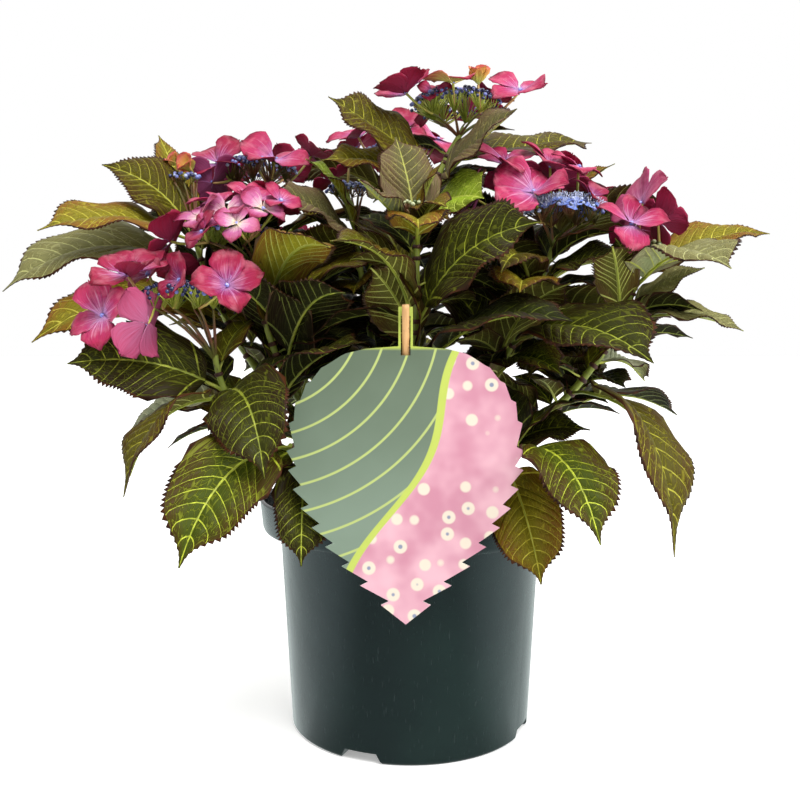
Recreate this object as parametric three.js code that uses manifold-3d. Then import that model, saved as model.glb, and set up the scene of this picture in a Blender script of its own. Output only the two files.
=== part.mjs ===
// A potted garden hydrangea with lacecap flower heads, in millimetres, +Z up.
// The origin is on the pot's axis at its underside, and -Y is the side that the hang label faces.
import * as THREE from 'three';
import { mergeVertices } from 'three/addons/utils/BufferGeometryUtils.js';
import Module from 'manifold-3d';

const wasm = await Module();
wasm.setup();

// Driving dimensions
const clearance = 0.3;
const pot = {
  height: 175, rimRadius: 115, collarHeight: 24.5, collarRadius: 112.9, neckRadius: 99.7,
  footRadius: 91.4, wall: 2.5, floor: 12, segments: 40,
};
const notch = { count: 4, firstAngle: 247, width: 33, topWidth: 24, height: 7.5, reach: 44 };
const soilTop = 162;
const stump = { top: 184, radius: 25, flareRadius: 31, flareHeight: 9, segments: 12 };
const cane = { footRadius: 3.4, tipRadius: 2.1, boughShare: 0.33, rows: 7, sides: 5 };
const leafShape = {
  petiole: 0.14, petioleRadius: 1.4, halfWidth: 0.28, foldAngle: 20, thickness: 1.9,
  stations: [0, 0.14, 0.28, 0.5, 0.76, 1], guardMargin: 1.1, guardStart: 0.28,
};
const sepal = { count: 4, cleft: 0.36, shoulderTurn: 0.22, thickness: 2, cup: 0.14 };
const pedicelRadius = 1.2;
const domeFlatness = 0.42;
const label = {
  length: 206, width: 155, thickness: 1.2, strapWidth: 9.5, strapLength: 26,
  teeth: 9, toothDepth: 7.5, tipY: -128.4, tipZ: 112, leanAngle: 6.9, x: -4,
  windowWidth: 6.4, windowLength: 26, windowDrop: 6,
};
const stick = { radius: 2.6, footY: -82, leanAngle: 10.2, length: 158, sides: 10 };

// Shoots. foot is the angle and radius on the stump, and hub is where the flower stalks part.
// bow is how far out and how far up the bend of the cane lies, as shares of the way to the hub.
// A leaf is its share along the cane, its tip, then its arch, roll and breadth.
// A pair is the share and the heading of two opposite leaves that follow the general rule.
const shoots = {
  top: {
    foot: [60, 9], hub: [42, 20, 458], bow: [-0.9, 0.6],
    leaves: [
      [0.84, [-61, -10, 475], 0.02, 45, 1.1],
      [0.8, [75, -45, 458], 0.02, -45, 1.3],
      [0.88, [158, 105, 464], 0.02, -20, 0.75],
      [0.7, [51, -55, 394], 0.1, -45, 1.4],
      [0.78, [-66, -12, 428], 0.12, 35, 0.9],
    ],
    pairs: [[0.5, 150]],
  },
  farLeft: {
    foot: [180, 20], hub: [-168, 12, 380], bow: [0.82, 0.38],
    leaves: [
      [0.95, [-261, -60, 371], 0.12, 25, 0.85],
      [0.95, [-232, -5, 426], 0.14, 50, 1.15],
      [1, [-204, 55, 460], 0.04, 0, 0.6],
      [0.86, [-299, -30, 330], 0.18, 30, 0.85],
      [0.62, [-267, -60, 293], 0.2, 30, 0.8],
    ],
    pairs: [[0.72, 110]],
  },
  lowLeft: {
    foot: [207, 20], hub: [-138, -60, 284], bow: [0.95, 0.3],
    leaves: [
      [0.8, [-230, -95, 279], 0.1, 58, 1.1],
      [0.78, [-205, -40, 228], 0.1, 30, 1],
      [0.76, [-184, -130, 195], 0.22, -20, 0.95],
      [0.8, [-91, -150, 210], 0.2, -35, 1],
    ],
    pairs: [[0.5, 110]],
  },
  midLeft: {
    foot: [200, 9], hub: [-112, -32, 352], bow: [0.95, 0.3],
    leaves: [
      [0.8, [-53, -110, 365], 0.22, 20, 0.9],
      [0.6, [-44, -100, 326], 0.2, 25, 1],
    ],
    pairs: [[0.72, 150], [0.48, 60]],
  },
  backLeft: {
    foot: [152, 20], hub: [-122, 58, 404], bow: [0.6, 0.45],
    leaves: [],
    pairs: [[0.88, 10], [0.68, 160], [0.48, 60]],
  },
  backCentre: {
    foot: [130, 9], hub: [-44, 38, 386], bow: [0.6, 0.4],
    leaves: [
      [0.9, [-99, -40, 415], 0.12, 45, 1],
      [0.95, [-80, 10, 433], 0.15, 30, 0.9],
    ],
    pairs: [[0.72, 50], [0.5, 130]],
  },
  front: {
    foot: [272, 9], hub: [4, -62, 372], bow: [0.95, 0.45],
    leaves: [
      [0.97, [-11, -36, 430], 0.05, 10, 1.1],
      [0.97, [-35, -100, 400], 0.02, 20, 1.1],
      [0.94, [22, -66, 418], 0.1, -20, 0.8],
      [0.94, [22, -100, 394], 0.25, -20, 0.8],
      [0.94, [4, -120, 388], 0.2, 0, 1.4],
      [0.56, [-28, -78, 344], 0.1, -60, 1.2],
      [0.64, [-52, -120, 358], 0.22, 20, 0.9],
      [0.64, [83, -110, 371], 0.16, -60, 1.05],
    ],
    pairs: [[0.46, 160]],
  },
  right: {
    foot: [345, 9], hub: [109, -12, 369], bow: [0.62, 0.4],
    leaves: [
      [0.84, [150, -60, 352], 0.12, -30, 1],
      [0.8, [60, -90, 340], 0.25, 20, 0.9],
      [0.62, [147, -150, 281], 0.12, -20, 0.9],
      [0.44, [102, -100, 285], 0.2, -20, 0.9],
    ],
    pairs: [[0.74, 80], [0.5, 130]],
  },
  farRight: {
    foot: [340, 20], hub: [168, -30, 349], bow: [0.85, 0.36],
    leaves: [
      [0.92, [266, -20, 373], 0.12, -25, 0.85],
      [0.8, [234, -60, 301], 0.1, -15, 0.9],
      [0.82, [205, -62, 345], 0.06, -35, 0.9],
      [0.8, [134, -90, 357], 0.1, -20, 0.8],
      [0.5, [168, -130, 156], 0.27, 25, 0.85],
      [0.62, [186, 22, 262], 0.15, -20, 1],
    ],
    pairs: [[0.9, 70]],
  },
  rear: {
    foot: [80, 20], hub: [-10, 140, 436], bow: [0.6, 0.42],
    leaves: [],
    pairs: [[0.93, 20], [0.76, 110], [0.6, 20], [0.45, 110]],
  },
  rearLeft: {
    foot: [130, 20], hub: [-128, 132, 348], bow: [0.65, 0.42],
    leaves: [],
    pairs: [[0.93, 60], [0.75, 150], [0.56, 60]],
  },
  rearRight: {
    foot: [45, 20], hub: [128, 92, 392], bow: [0.6, 0.42],
    leaves: [[0.92, [168, 58, 438], 0.15, -20, 0.9]],
    pairs: [[0.84, 100], [0.68, 20], [0.5, 110]],
  },
  lowFrontRight: {
    foot: [310, 20], hub: [78, -84, 222], bow: [0.7, 0.6],
    leaves: [
      [0.96, [112, -170, 173], 0.2, -5, 0.95],
      [0.7, [82, -136, 140], 0.08, -30, 0.95],
      [0.6, [127, -60, 231], 0.15, -30, 0.9],
    ],
    pairs: [],
  },
  lowFrontLeft: {
    foot: [235, 20], hub: [-84, -78, 222], bow: [0.7, 0.6],
    leaves: [
      [0.96, [-140, -170, 159], 0.18, 35, 0.9],
      [0.78, [-72, -135, 162], 0.15, 20, 0.95],
      [0.88, [-108, -120, 195], 0.1, 20, 0.8],
    ],
    pairs: [],
  },
  lowRearRight: {
    foot: [15, 20], hub: [150, 60, 262], bow: [0.7, 0.4],
    leaves: [],
    pairs: [[0.95, 20], [0.78, 110], [0.58, 20]],
  },
  lowRearLeft: {
    foot: [105, 20], hub: [-60, 150, 250], bow: [0.7, 0.5],
    leaves: [],
    pairs: [[0.95, 100], [0.76, 20], [0.56, 110]],
  },
};

// Flower heads. dome is the centre and radius of the cluster of buds.
// A floret is its centre and radius, then the heading and rise of its face.
const heads = {
  top: {
    dome: [36, 24, 473, 36],
    florets: [
      [-3, 8, 481, 27, 200, 62], [33, -6, 488, 21, 90, 78],
      [56, 14, 492, 11, 300, 65], [86, 20, 486, 26, 330, 66],
      [19, 48, 484, 19, 120, 55], [42, 64, 482, 23, 90, 55],
      [76, 56, 481, 22, 50, 55],
    ],
  },
  backLeft: {
    dome: [-126, 66, 430, 34],
    florets: [
      [-158, 54, 448, 27, 240, 52], [-158, 42, 427, 24, 130, 25],
      [-112, 46, 448, 30, 275, 50], [-82, 80, 457, 21, 40, 60],
      [-152, 100, 442, 25, 130, 50], [-104, 110, 442, 25, 80, 50],
    ],
  },
  farLeft: {
    dome: [-174, 16, 418, 12],
    florets: [[-178, 20, 438, 12, 220, 50]],
  },
  midLeft: {
    dome: [-128, -40, 369, 27],
    florets: [
      [-115, -46, 401, 27, 290, 55], [-107, -66, 386, 20, 290, 30],
      [-132, -70, 379, 20, 260, 32], [-154, -56, 386, 19, 220, 40],
      [-136, -34, 402, 22, 200, 68], [-172, -42, 373, 24, 140, 42],
      [-108, -8, 392, 22, 60, 50],
    ],
  },
  lowLeft: {
    dome: [-160, -64, 322, 30],
    florets: [
      [-206, -80, 341, 30, 250, 72], [-216, -90, 312, 27, 255, 15],
      [-180, -98, 304, 28, 155, 8], [-157, -82, 338, 18, 250, 32],
      [-124, -88, 334, 29, 282, 20], [-172, -28, 342, 22, 100, 55],
    ],
  },
  backCentre: {
    dome: [-50, 40, 412, 17],
    florets: [[-48, 32, 430, 11, 280, 60], [-62, 58, 424, 16, 120, 50]],
  },
  front: { dome: [2, -66, 386, 10], florets: [] },
  right: {
    dome: [116, -14, 386, 30],
    florets: [
      [71, -4, 426, 28, 280, 58], [94, -34, 400, 30, 265, 56],
      [106, 0, 425, 26, 300, 58], [141, 6, 428, 24, 340, 68],
      [140, -14, 404, 15, 320, 40], [50, -16, 398, 20, 200, 22],
      [84, 34, 424, 24, 110, 52], [120, 36, 422, 24, 60, 52],
    ],
  },
  farRight: {
    dome: [172, -32, 360, 15],
    florets: [
      [155, -54, 376, 27, 282, 50], [167, -36, 393, 25, 190, 16],
      [178, -40, 381, 24, 25, 22], [172, 2, 378, 22, 80, 42],
    ],
  },
  rear: {
    dome: [-12, 140, 456, 32],
    florets: [
      [-45, 130, 474, 25, 220, 55], [-8, 112, 474, 25, 270, 55],
      [26, 132, 472, 25, 330, 55], [18, 166, 470, 25, 40, 50],
      [-20, 176, 470, 25, 100, 50], [-48, 158, 470, 22, 150, 50],
    ],
  },
  rearLeft: {
    dome: [-130, 136, 366, 30],
    florets: [
      [-94, 126, 379, 24, 300, 45], [-160, 120, 382, 25, 210, 50],
      [-134, 106, 388, 24, 260, 60], [-150, 158, 380, 25, 140, 45],
      [-112, 164, 380, 25, 80, 45],
    ],
  },
  rearRight: {
    dome: [130, 98, 408, 30],
    florets: [
      [100, 92, 424, 24, 200, 55], [132, 76, 426, 22, 280, 60],
      [160, 100, 422, 25, 0, 50], [142, 128, 420, 25, 70, 45],
      [108, 124, 422, 24, 130, 48],
    ],
  },
};

const ruleLeaf = { length: 116, spread: 18, rise: 30, riseSpread: 14, arch: 0.16, breadth: 1 };
const tipShifts = [
  [0, 0, 0], [0, 0, 10], [0, 0, -10], [0, -10, 4], [0, 10, 4], [10, 0, 0], [-10, 0, 0],
  [0, 0, 20], [0, -14, -14], [0, 14, -14], [16, 0, 12], [-16, 0, 12], [0, 0, -22],
];

const ruleSwings = [1, 0.86, 0.7].flatMap((scale) => [0, 14, -16, 28, -32].flatMap((lift) => (
  [0, 18, -18, 36, -36].map((swing) => [swing, lift, scale]))));

const radians = THREE.MathUtils.degToRad;
const up = new THREE.Vector3(0, 0, 1);
const point = ([x, y, z]) => new THREE.Vector3(x, y, z);

function seededNumbers(seed) {
  let state = seed;
  return () => {
    state = (state * 16807) % 2147483647;
    return state / 2147483647;
  };
}

function direction(heading, rise) {
  const flat = Math.cos(radians(rise));
  const angle = radians(heading);
  return new THREE.Vector3(flat * Math.cos(angle), flat * Math.sin(angle), Math.sin(radians(rise)));
}

// Solids and geometries
function solidFrom(geometry) {
  geometry.deleteAttribute('normal');
  geometry.deleteAttribute('uv');
  const merged = mergeVertices(geometry, 1e-4);
  return new wasm.Manifold(new wasm.Mesh({
    numProp: 3,
    vertProperties: new Float32Array(merged.attributes.position.array),
    triVerts: new Uint32Array(merged.index.array),
  }));
}

function geometryFrom(solid) {
  const mesh = solid.getMesh();
  const geometry = new THREE.BufferGeometry();
  geometry.setAttribute('position', new THREE.BufferAttribute(mesh.vertProperties, 3));
  geometry.setIndex(new THREE.BufferAttribute(mesh.triVerts, 1));
  geometry.computeVertexNormals();
  return geometry;
}

// A closed skin over rings of points, each ring anticlockwise about the way it runs.
function loft(rings) {
  const sides = rings[0].length;
  const positions = rings.flat().flatMap((corner) => corner.toArray());
  const index = [];
  for (let row = 0; row + 1 < rings.length; row += 1) {
    for (let side = 0; side < sides; side += 1) {
      const near = row * sides + side;
      const next = row * sides + ((side + 1) % sides);
      index.push(near, next, next + sides, near, next + sides, near + sides);
    }
  }
  const last = (rings.length - 1) * sides;
  for (let side = 1; side + 1 < sides; side += 1) {
    index.push(0, side + 1, side, last, last + side, last + side + 1);
  }
  const geometry = new THREE.BufferGeometry();
  geometry.setAttribute('position', new THREE.Float32BufferAttribute(positions, 3));
  geometry.setIndex(index);
  return solidFrom(geometry);
}

function ringAbout(centre, way, radius, sides) {
  const reference = Math.abs(way.z) > 0.9 ? new THREE.Vector3(1, 0, 0) : up;
  const across = new THREE.Vector3().crossVectors(reference, way).normalize();
  const over = new THREE.Vector3().crossVectors(way, across);
  return Array.from({ length: sides }, (_, side) => {
    const angle = (2 * Math.PI * side) / sides;
    return centre.clone()
      .addScaledVector(across, radius * Math.cos(angle))
      .addScaledVector(over, radius * Math.sin(angle));
  });
}

function twig(start, end, startRadius, endRadius) {
  const way = end.clone().sub(start).normalize();
  return loft([ringAbout(start, way, startRadius, 3), ringAbout(end, way, endRadius, 3)]);
}

// Canes
function caneCurve(shoot) {
  const foot = direction(shoot.foot[0], 0).multiplyScalar(shoot.foot[1]);
  foot.z = stump.top + clearance;
  const hub = point(shoot.hub);
  const [out, rise] = shoot.bow;
  const bend = new THREE.Vector3(
    foot.x + (hub.x - foot.x) * out,
    foot.y + (hub.y - foot.y) * out,
    foot.z + (hub.z - foot.z) * rise,
  );
  return new THREE.QuadraticBezierCurve3(foot, bend, hub);
}

function caneRadius(share) {
  return THREE.MathUtils.lerp(cane.footRadius, cane.tipRadius, share);
}

// The foot's ring lies flat, so that it stands square on the stump.
function caneStretch(curve, from, to, rows) {
  const rings = Array.from({ length: rows }, (_, row) => {
    const share = THREE.MathUtils.lerp(from, to, row / (rows - 1));
    const way = share === 0 ? up : curve.getTangent(share);
    return ringAbout(curve.getPoint(share), way, caneRadius(share), cane.sides);
  });
  return loft(rings);
}

// Leaves
function leafHalfWidth(share, length, breadth) {
  if (share <= leafShape.petiole) return leafShape.petioleRadius;
  const blade = (share - leafShape.petiole) / (1 - leafShape.petiole);
  const outline = 2.8 * blade ** 0.62 * (1 - blade) ** 0.9;
  return Math.max(0.6, leafShape.halfWidth * length * breadth * outline);
}

// The frames along a leaf: its middle, the way to its right edge and the way its upper face looks.
function leafFrames(base, tip, arch, roll, stations) {
  const chord = tip.clone().sub(base);
  const length = chord.length();
  const along = chord.clone().normalize();
  const rise = up.clone().addScaledVector(along, -along.z).normalize();
  const bend = base.clone().add(tip).multiplyScalar(0.5).addScaledVector(rise, 2 * arch * length);
  const outset = bend.clone().sub(base).setLength(0.5).add(base);
  const curve = new THREE.QuadraticBezierCurve3(outset, bend, tip);
  const level = new THREE.Vector3(chord.y, -chord.x, 0).normalize();
  return stations.map((share) => {
    const way = curve.getTangent(share);
    const face = new THREE.Vector3().crossVectors(level, way).normalize();
    const turn = radians(roll);
    const side = level.clone().multiplyScalar(Math.cos(turn)).addScaledVector(face, Math.sin(turn));
    face.multiplyScalar(Math.cos(turn)).addScaledVector(level, -Math.sin(turn));
    return { share, centre: curve.getPoint(share), side, face, length };
  });
}

function leafSolid(leaf, margin, start) {
  const stations = leafShape.stations.filter((share) => share >= start);
  const frames = leafFrames(leaf.base, leaf.tip, leaf.arch, leaf.roll, stations);
  const fold = radians(leafShape.foldAngle);
  const rings = frames.map(({ share, centre, side, face, length }) => {
    const half = leafHalfWidth(share, length, leaf.breadth) + margin;
    const onBlade = share > leafShape.petiole;
    const depth = (onBlade ? leafShape.thickness / 2 : leafShape.petioleRadius) + margin;
    const lift = onBlade ? half * Math.sin(fold) : 0;
    const reach = onBlade ? half * Math.cos(fold) : half;
    const at = (sideways, upward) => centre.clone()
      .addScaledVector(side, sideways).addScaledVector(face, upward);
    return [at(reach, lift), at(0, -depth), at(-reach, lift), at(0, depth)];
  });
  return loft(rings);
}

// Florets: one thin cupped star of broad sepals, on a stalk that comes up behind it
function starRing(radius) {
  const step = 360 / sepal.count;
  return Array.from({ length: sepal.count }, (_, count) => [
    [(count - 0.5) * step, sepal.cleft],
    [(count - sepal.shoulderTurn) * step, 1], [(count + sepal.shoulderTurn) * step, 1],
  ]).flat().map(([angle, reach]) => [radians(angle), reach * radius]);
}

// The stalk grows out of the cluster of buds from a root below its skin.
function floretSolid(floret, dome) {
  const [x, y, z, radius, heading, rise] = floret;
  const centre = point([x, y, z]);
  const middle = point(dome);
  const sink = Math.min(0.4, (0.5 * dome[3]) / middle.distanceTo(centre));
  const root = middle.lerp(centre, sink);
  root.z = dome[2];
  const face = direction(heading, rise);
  const across = new THREE.Vector3().crossVectors(up, face).normalize();
  const over = new THREE.Vector3().crossVectors(face, across);
  const ring = starRing(radius).map(([angle, reach]) => centre.clone()
    .addScaledVector(across, reach * Math.cos(angle + x))
    .addScaledVector(over, reach * Math.sin(angle + x))
    .addScaledVector(face, sepal.cup * reach));
  const half = sepal.thickness / 2;
  const top = centre.clone().addScaledVector(face, half);
  const under = centre.clone().addScaledVector(face, -half);
  const corners = [top, under, ...ring];
  const index = ring.flatMap((_, side) => {
    const next = (side + 1) % ring.length;
    return [0, side + 2, next + 2, 1, next + 2, side + 2];
  });
  const geometry = new THREE.BufferGeometry();
  geometry.setAttribute('position', new THREE.Float32BufferAttribute(
    corners.flatMap((corner) => corner.toArray()), 3));
  geometry.setIndex(index);
  return solidFrom(geometry).add(twig(root, centre, pedicelRadius, 0.8 * pedicelRadius));
}

function domeSolid(head, hub) {
  const [x, y, z, radius] = head.dome;
  const dome = new THREE.IcosahedronGeometry(radius, 0);
  dome.scale(1, 1, domeFlatness);
  dome.translate(x, y, z);
  return solidFrom(dome).add(twig(hub, point([x, y, z]), pedicelRadius, pedicelRadius));
}

// Placing: each solid keeps clear of all that stands already, or is left out
const placed = [];

function boundsOf(solid) {
  const { min, max } = solid.boundingBox();
  return new THREE.Box3(point(min), point(max));
}

function place(owner, solid, outer = false) {
  placed.push({ owner, solid, box: boundsOf(solid), outer });
}

function meets(solid, owner) {
  const box = boundsOf(solid);
  return placed.some((other) => other.owner !== owner
    && other.box.intersectsBox(box)
    && other.solid.intersect(solid).numTri() > 0);
}

function crossesOwn(solid, owner) {
  const box = boundsOf(solid);
  return placed.some((other) => other.owner === owner && other.outer
    && other.box.intersectsBox(box)
    && other.solid.intersect(solid).numTri() > 0);
}

// The first try that meets nothing is taken, and one that also clears its own shoot goes first.
function settleLeaf(owner, tries) {
  const clear = tries.filter((leaf) => (
    !meets(leafSolid(leaf, leafShape.guardMargin, 0), owner)));
  const slim = (leaf) => leafSolid(leaf, 0.4, leafShape.guardStart);
  const chosen = clear.find((leaf) => !crossesOwn(slim(leaf), owner)) ?? clear[0];
  if (chosen) place(owner, leafSolid(chosen, 0, 0), true);
  return chosen;
}

// Made pieces
function potProfile() {
  const collarFoot = pot.height - pot.collarHeight;
  const { wall } = pot;
  return [
    [0, 0], [pot.footRadius - 2, 0], [pot.footRadius, 2], [pot.neckRadius, collarFoot + 1.5],
    [pot.collarRadius - 4, collarFoot], [pot.collarRadius - 1.2, collarFoot + 1],
    [pot.collarRadius, collarFoot + 4], [pot.rimRadius, pot.height - 1.2],
    [pot.rimRadius - 1, pot.height], [pot.rimRadius - wall, pot.height],
    [pot.rimRadius - wall - 1, pot.height - 1.5], [pot.collarRadius - wall - 0.6, collarFoot + 6],
    [pot.neckRadius - wall + 1, collarFoot + 3.5], [pot.neckRadius - wall, collarFoot],
    [pot.footRadius - wall + 0.8, pot.floor], [0, pot.floor],
  ];
}

function latheSolid(profile, segments) {
  const outline = profile.map(([radius, height]) => new THREE.Vector2(radius, height));
  const geometry = new THREE.LatheGeometry(outline, segments);
  geometry.rotateX(Math.PI / 2);
  return solidFrom(geometry);
}

function notchSolid(heading) {
  const shape = new THREE.Shape();
  shape.moveTo(-notch.width / 2, -1);
  shape.lineTo(notch.width / 2, -1);
  shape.lineTo(notch.topWidth / 2, notch.height);
  shape.lineTo(-notch.topWidth / 2, notch.height);
  shape.closePath();
  const geometry = new THREE.ExtrudeGeometry(shape, { depth: notch.reach + 5, bevelEnabled: false });
  geometry.rotateX(Math.PI / 2);
  geometry.translate(0, pot.footRadius + 5, 0);
  geometry.rotateZ(radians(heading - 90));
  return solidFrom(geometry);
}

function potSolid() {
  let solid = latheSolid(potProfile(), pot.segments);
  for (let count = 0; count < notch.count; count += 1) {
    solid = solid.subtract(notchSolid(notch.firstAngle + (360 * count) / notch.count));
  }
  return solid;
}

// The plug of peat keeps the clearance to the pot's floor and wall.
function soilSolid() {
  const collarFoot = pot.height - pot.collarHeight;
  const inset = pot.wall + 1.5 * clearance;
  return latheSolid([
    [0, pot.floor + clearance], [pot.footRadius - inset + 0.7, pot.floor + clearance],
    [pot.neckRadius - inset - 0.2, collarFoot - 1], [pot.neckRadius - inset, collarFoot + 4],
    [pot.collarRadius - inset - 2.5, collarFoot + 7], [pot.collarRadius - inset - 1, soilTop - 1.5],
    [pot.collarRadius - inset - 4, soilTop], [0, soilTop],
  ], pot.segments);
}

function stumpSolid() {
  const foot = soilTop + clearance;
  return latheSolid([
    [0, foot], [stump.flareRadius, foot], [stump.radius + 1.5, foot + stump.flareHeight],
    [stump.radius, stump.top - 2], [stump.radius - 2, stump.top], [0, stump.top],
  ], stump.segments);
}

// Half of the label's outline, from its tip up to the strap, with saw teeth on the lower part
function labelHalf() {
  const corners = [new THREE.Vector2(0, 0)];
  const bladeLength = label.length - label.strapLength;
  const widest = 0.62;
  for (let tooth = 1; tooth <= label.teeth; tooth += 1) {
    const share = (tooth / label.teeth) * widest;
    const full = Math.sin((Math.PI / 2) * (share / widest)) ** 0.9;
    const x = full * (label.width / 2);
    corners.push(new THREE.Vector2(x, share * bladeLength));
    corners.push(new THREE.Vector2(Math.max(1, x - label.toothDepth * 0.7), share * bladeLength + 2.5));
  }
  const steps = 7;
  for (let step = 1; step <= steps; step += 1) {
    const angle = (Math.PI / 2) * (step / steps);
    const x = (label.width / 2) * Math.cos(angle) ** 0.72;
    corners.push(new THREE.Vector2(
      Math.max(label.strapWidth / 2, x),
      bladeLength * (widest + 0.02 + (0.98 - widest) * Math.sin(angle)),
    ));
  }
  corners.push(new THREE.Vector2(label.strapWidth / 2, label.length));
  return corners;
}

function labelSolid() {
  const half = labelHalf();
  const mirrored = half.slice(1).reverse().map((corner) => new THREE.Vector2(-corner.x, corner.y));
  const shape = new THREE.Shape([...half, ...mirrored]);
  const top = label.length - label.windowDrop;
  const inner = label.windowWidth / 2;
  shape.holes.push(new THREE.Path([
    new THREE.Vector2(-inner, top), new THREE.Vector2(-inner, top - label.windowLength),
    new THREE.Vector2(inner, top - label.windowLength), new THREE.Vector2(inner, top),
  ]));
  const geometry = new THREE.ExtrudeGeometry(shape, { depth: label.thickness, bevelEnabled: false });
  geometry.rotateX(Math.PI / 2);
  geometry.rotateX(-radians(label.leanAngle));
  geometry.translate(label.x, label.tipY, label.tipZ);
  return solidFrom(geometry);
}

function stickSolid() {
  const foot = new THREE.Vector3(label.x, stick.footY, soilTop + clearance);
  const way = direction(270, 90 - stick.leanAngle);
  const end = foot.clone().addScaledVector(way, stick.length);
  return loft([
    ringAbout(foot, up, stick.radius, stick.sides),
    ringAbout(end, way, stick.radius, stick.sides),
  ]);
}

// The plant, from the stump outwards
const shootNames = Object.keys(shoots);
const curves = Object.fromEntries(shootNames.map((name) => [name, caneCurve(shoots[name])]));
const boughs = {};
const parts = Object.fromEntries(shootNames.map((name) => [name, []]));

const potBody = potSolid();
const soilBody = soilSolid();
const stumpBody = stumpSolid();
const labelBody = labelSolid();
const stickBody = stickSolid();
const potFilled = latheSolid([
  [0, 0], [pot.footRadius, 0], [pot.neckRadius, pot.height - pot.collarHeight],
  [pot.rimRadius + 1, pot.height - pot.collarHeight - 1], [pot.rimRadius + 1, pot.height + 1],
  [0, soilTop + 1],
], 24);
place('pot', potFilled);
place('stump', stumpBody);
place('label', labelBody);
place('stick', stickBody);

for (const name of shootNames) {
  const curve = curves[name];
  const split = cane.boughShare + clearance / curve.getLength();
  boughs[name] = caneStretch(curve, 0, cane.boughShare, 5);
  const stem = caneStretch(curve, split, 1, cane.rows);
  parts[name].push(stem);
  place(name, boughs[name]);
  place(name, stem);
}

for (const [name, head] of Object.entries(heads)) {
  const root = curves[name].getPoint(0.97);
  const dome = domeSolid(head, root);
  parts[name].push(dome);
  place(name, dome, true);
  for (const floret of head.florets) {
    const solid = floretSolid(floret, head.dome);
    if (meets(solid, name)) {
      console.error('floret left out', name, floret.join(' '));
      continue;
    }
    parts[name].push(solid);
    place(name, solid, true);
  }
}

function addLeaf(name, tries) {
  const chosen = settleLeaf(name, tries);
  if (chosen) parts[name].push(leafSolid(chosen, 0, 0));
  else console.error('leaf left out', name, tries[0].tip.toArray().map(Math.round).join(' '));
}

for (const name of shootNames) {
  for (const [share, tip, arch, roll, breadth] of shoots[name].leaves) {
    const base = curves[name].getPoint(share);
    addLeaf(name, tipShifts.map((shift) => (
      { base, tip: point(tip).add(point(shift)), arch, roll, breadth })));
  }
}

const random = seededNumbers(4711);
for (const name of shootNames) {
  for (const [share, heading] of shoots[name].pairs) {
    for (const turn of [0, 180]) {
      const base = curves[name].getPoint(share);
      const length = ruleLeaf.length + ruleLeaf.spread * (2 * random() - 1);
      const rise = ruleLeaf.rise + ruleLeaf.riseSpread * (2 * random() - 1);
      const roll = 24 * (2 * random() - 1);
      addLeaf(name, ruleSwings.map(([swing, lift, scale]) => {
        const way = direction(heading + turn + swing, rise + lift);
        const tip = base.clone().addScaledVector(way, scale * length);
        return { base, tip, arch: ruleLeaf.arch, roll, breadth: ruleLeaf.breadth };
      }));
    }
  }
}

// Scene
const finishes = {
  pot: new THREE.MeshStandardMaterial({ color: '#1f2f2b', roughness: 0.28, metalness: 0 }),
  soil: new THREE.MeshStandardMaterial({ color: '#1d1713', roughness: 0.95, metalness: 0 }),
  stump: new THREE.MeshStandardMaterial({ color: '#5d5136', roughness: 0.8, metalness: 0 }),
  bough: new THREE.MeshStandardMaterial({ color: '#6f7a2e', roughness: 0.6, metalness: 0 }),
  foliage: new THREE.MeshStandardMaterial({ color: '#3d4a22', roughness: 0.55, metalness: 0 }),
  label: new THREE.MeshStandardMaterial({ color: '#84a490', roughness: 0.35, metalness: 0 }),
  stick: new THREE.MeshStandardMaterial({ color: '#b98d54', roughness: 0.7, metalness: 0 }),
};

const plant = new THREE.Group();

function addNode(name, solid, finish) {
  const mesh = new THREE.Mesh(geometryFrom(solid), finish);
  mesh.name = name;
  plant.add(mesh);
}

// Fusing can leave a sliver or a sealed pocket, which is dropped or filled here.
function largestBody(solid) {
  return solid.decompose().reduce((best, body) => (body.volume() > best.volume() ? body : best));
}

const spaced = (name) => name.replace(/[A-Z]/g, (letter) => `_${letter.toLowerCase()}`);

addNode('pot', potBody, finishes.pot);
addNode('soil', soilBody, finishes.soil);
addNode('stump', stumpBody, finishes.stump);
addNode('hang_label', labelBody, finishes.label);
addNode('label_stick', stickBody, finishes.stick);
for (const name of shootNames) {
  addNode(`cane_${spaced(name)}`, boughs[name], finishes.bough);
  const mass = largestBody(parts[name].reduce((whole, piece) => whole.add(piece)));
  addNode(`shoot_${spaced(name)}`, mass, finishes.foliage);
}

export default plant;
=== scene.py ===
import math

import bmesh
import bpy
import numpy as np
from mathutils import Matrix, Vector, noise
from mathutils.bvhtree import BVHTree


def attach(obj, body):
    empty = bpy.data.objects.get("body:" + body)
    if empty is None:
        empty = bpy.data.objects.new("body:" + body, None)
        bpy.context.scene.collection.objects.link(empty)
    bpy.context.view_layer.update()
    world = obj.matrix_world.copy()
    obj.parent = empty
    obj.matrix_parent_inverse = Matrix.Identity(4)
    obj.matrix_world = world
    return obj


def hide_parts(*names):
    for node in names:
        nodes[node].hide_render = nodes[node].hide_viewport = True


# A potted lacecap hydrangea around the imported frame.
# Lengths are in millimetres and angles in degrees until a piece is made.
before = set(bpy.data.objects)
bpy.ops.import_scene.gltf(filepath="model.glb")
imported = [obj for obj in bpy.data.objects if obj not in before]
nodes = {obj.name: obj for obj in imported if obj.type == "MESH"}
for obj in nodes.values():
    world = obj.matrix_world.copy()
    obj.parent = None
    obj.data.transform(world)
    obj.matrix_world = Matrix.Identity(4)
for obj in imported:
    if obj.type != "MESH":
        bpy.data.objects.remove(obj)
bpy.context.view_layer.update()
mm = 0.001
up = np.array([0.0, 0.0, 1.0])
sideways = np.array([1.0, 0.0, 0.0])
steepRise = 0.8  # a way that rises more than this is measured from the side, not from above
shootNodes = sorted(name for name in nodes if name.startswith("shoot_"))
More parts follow.
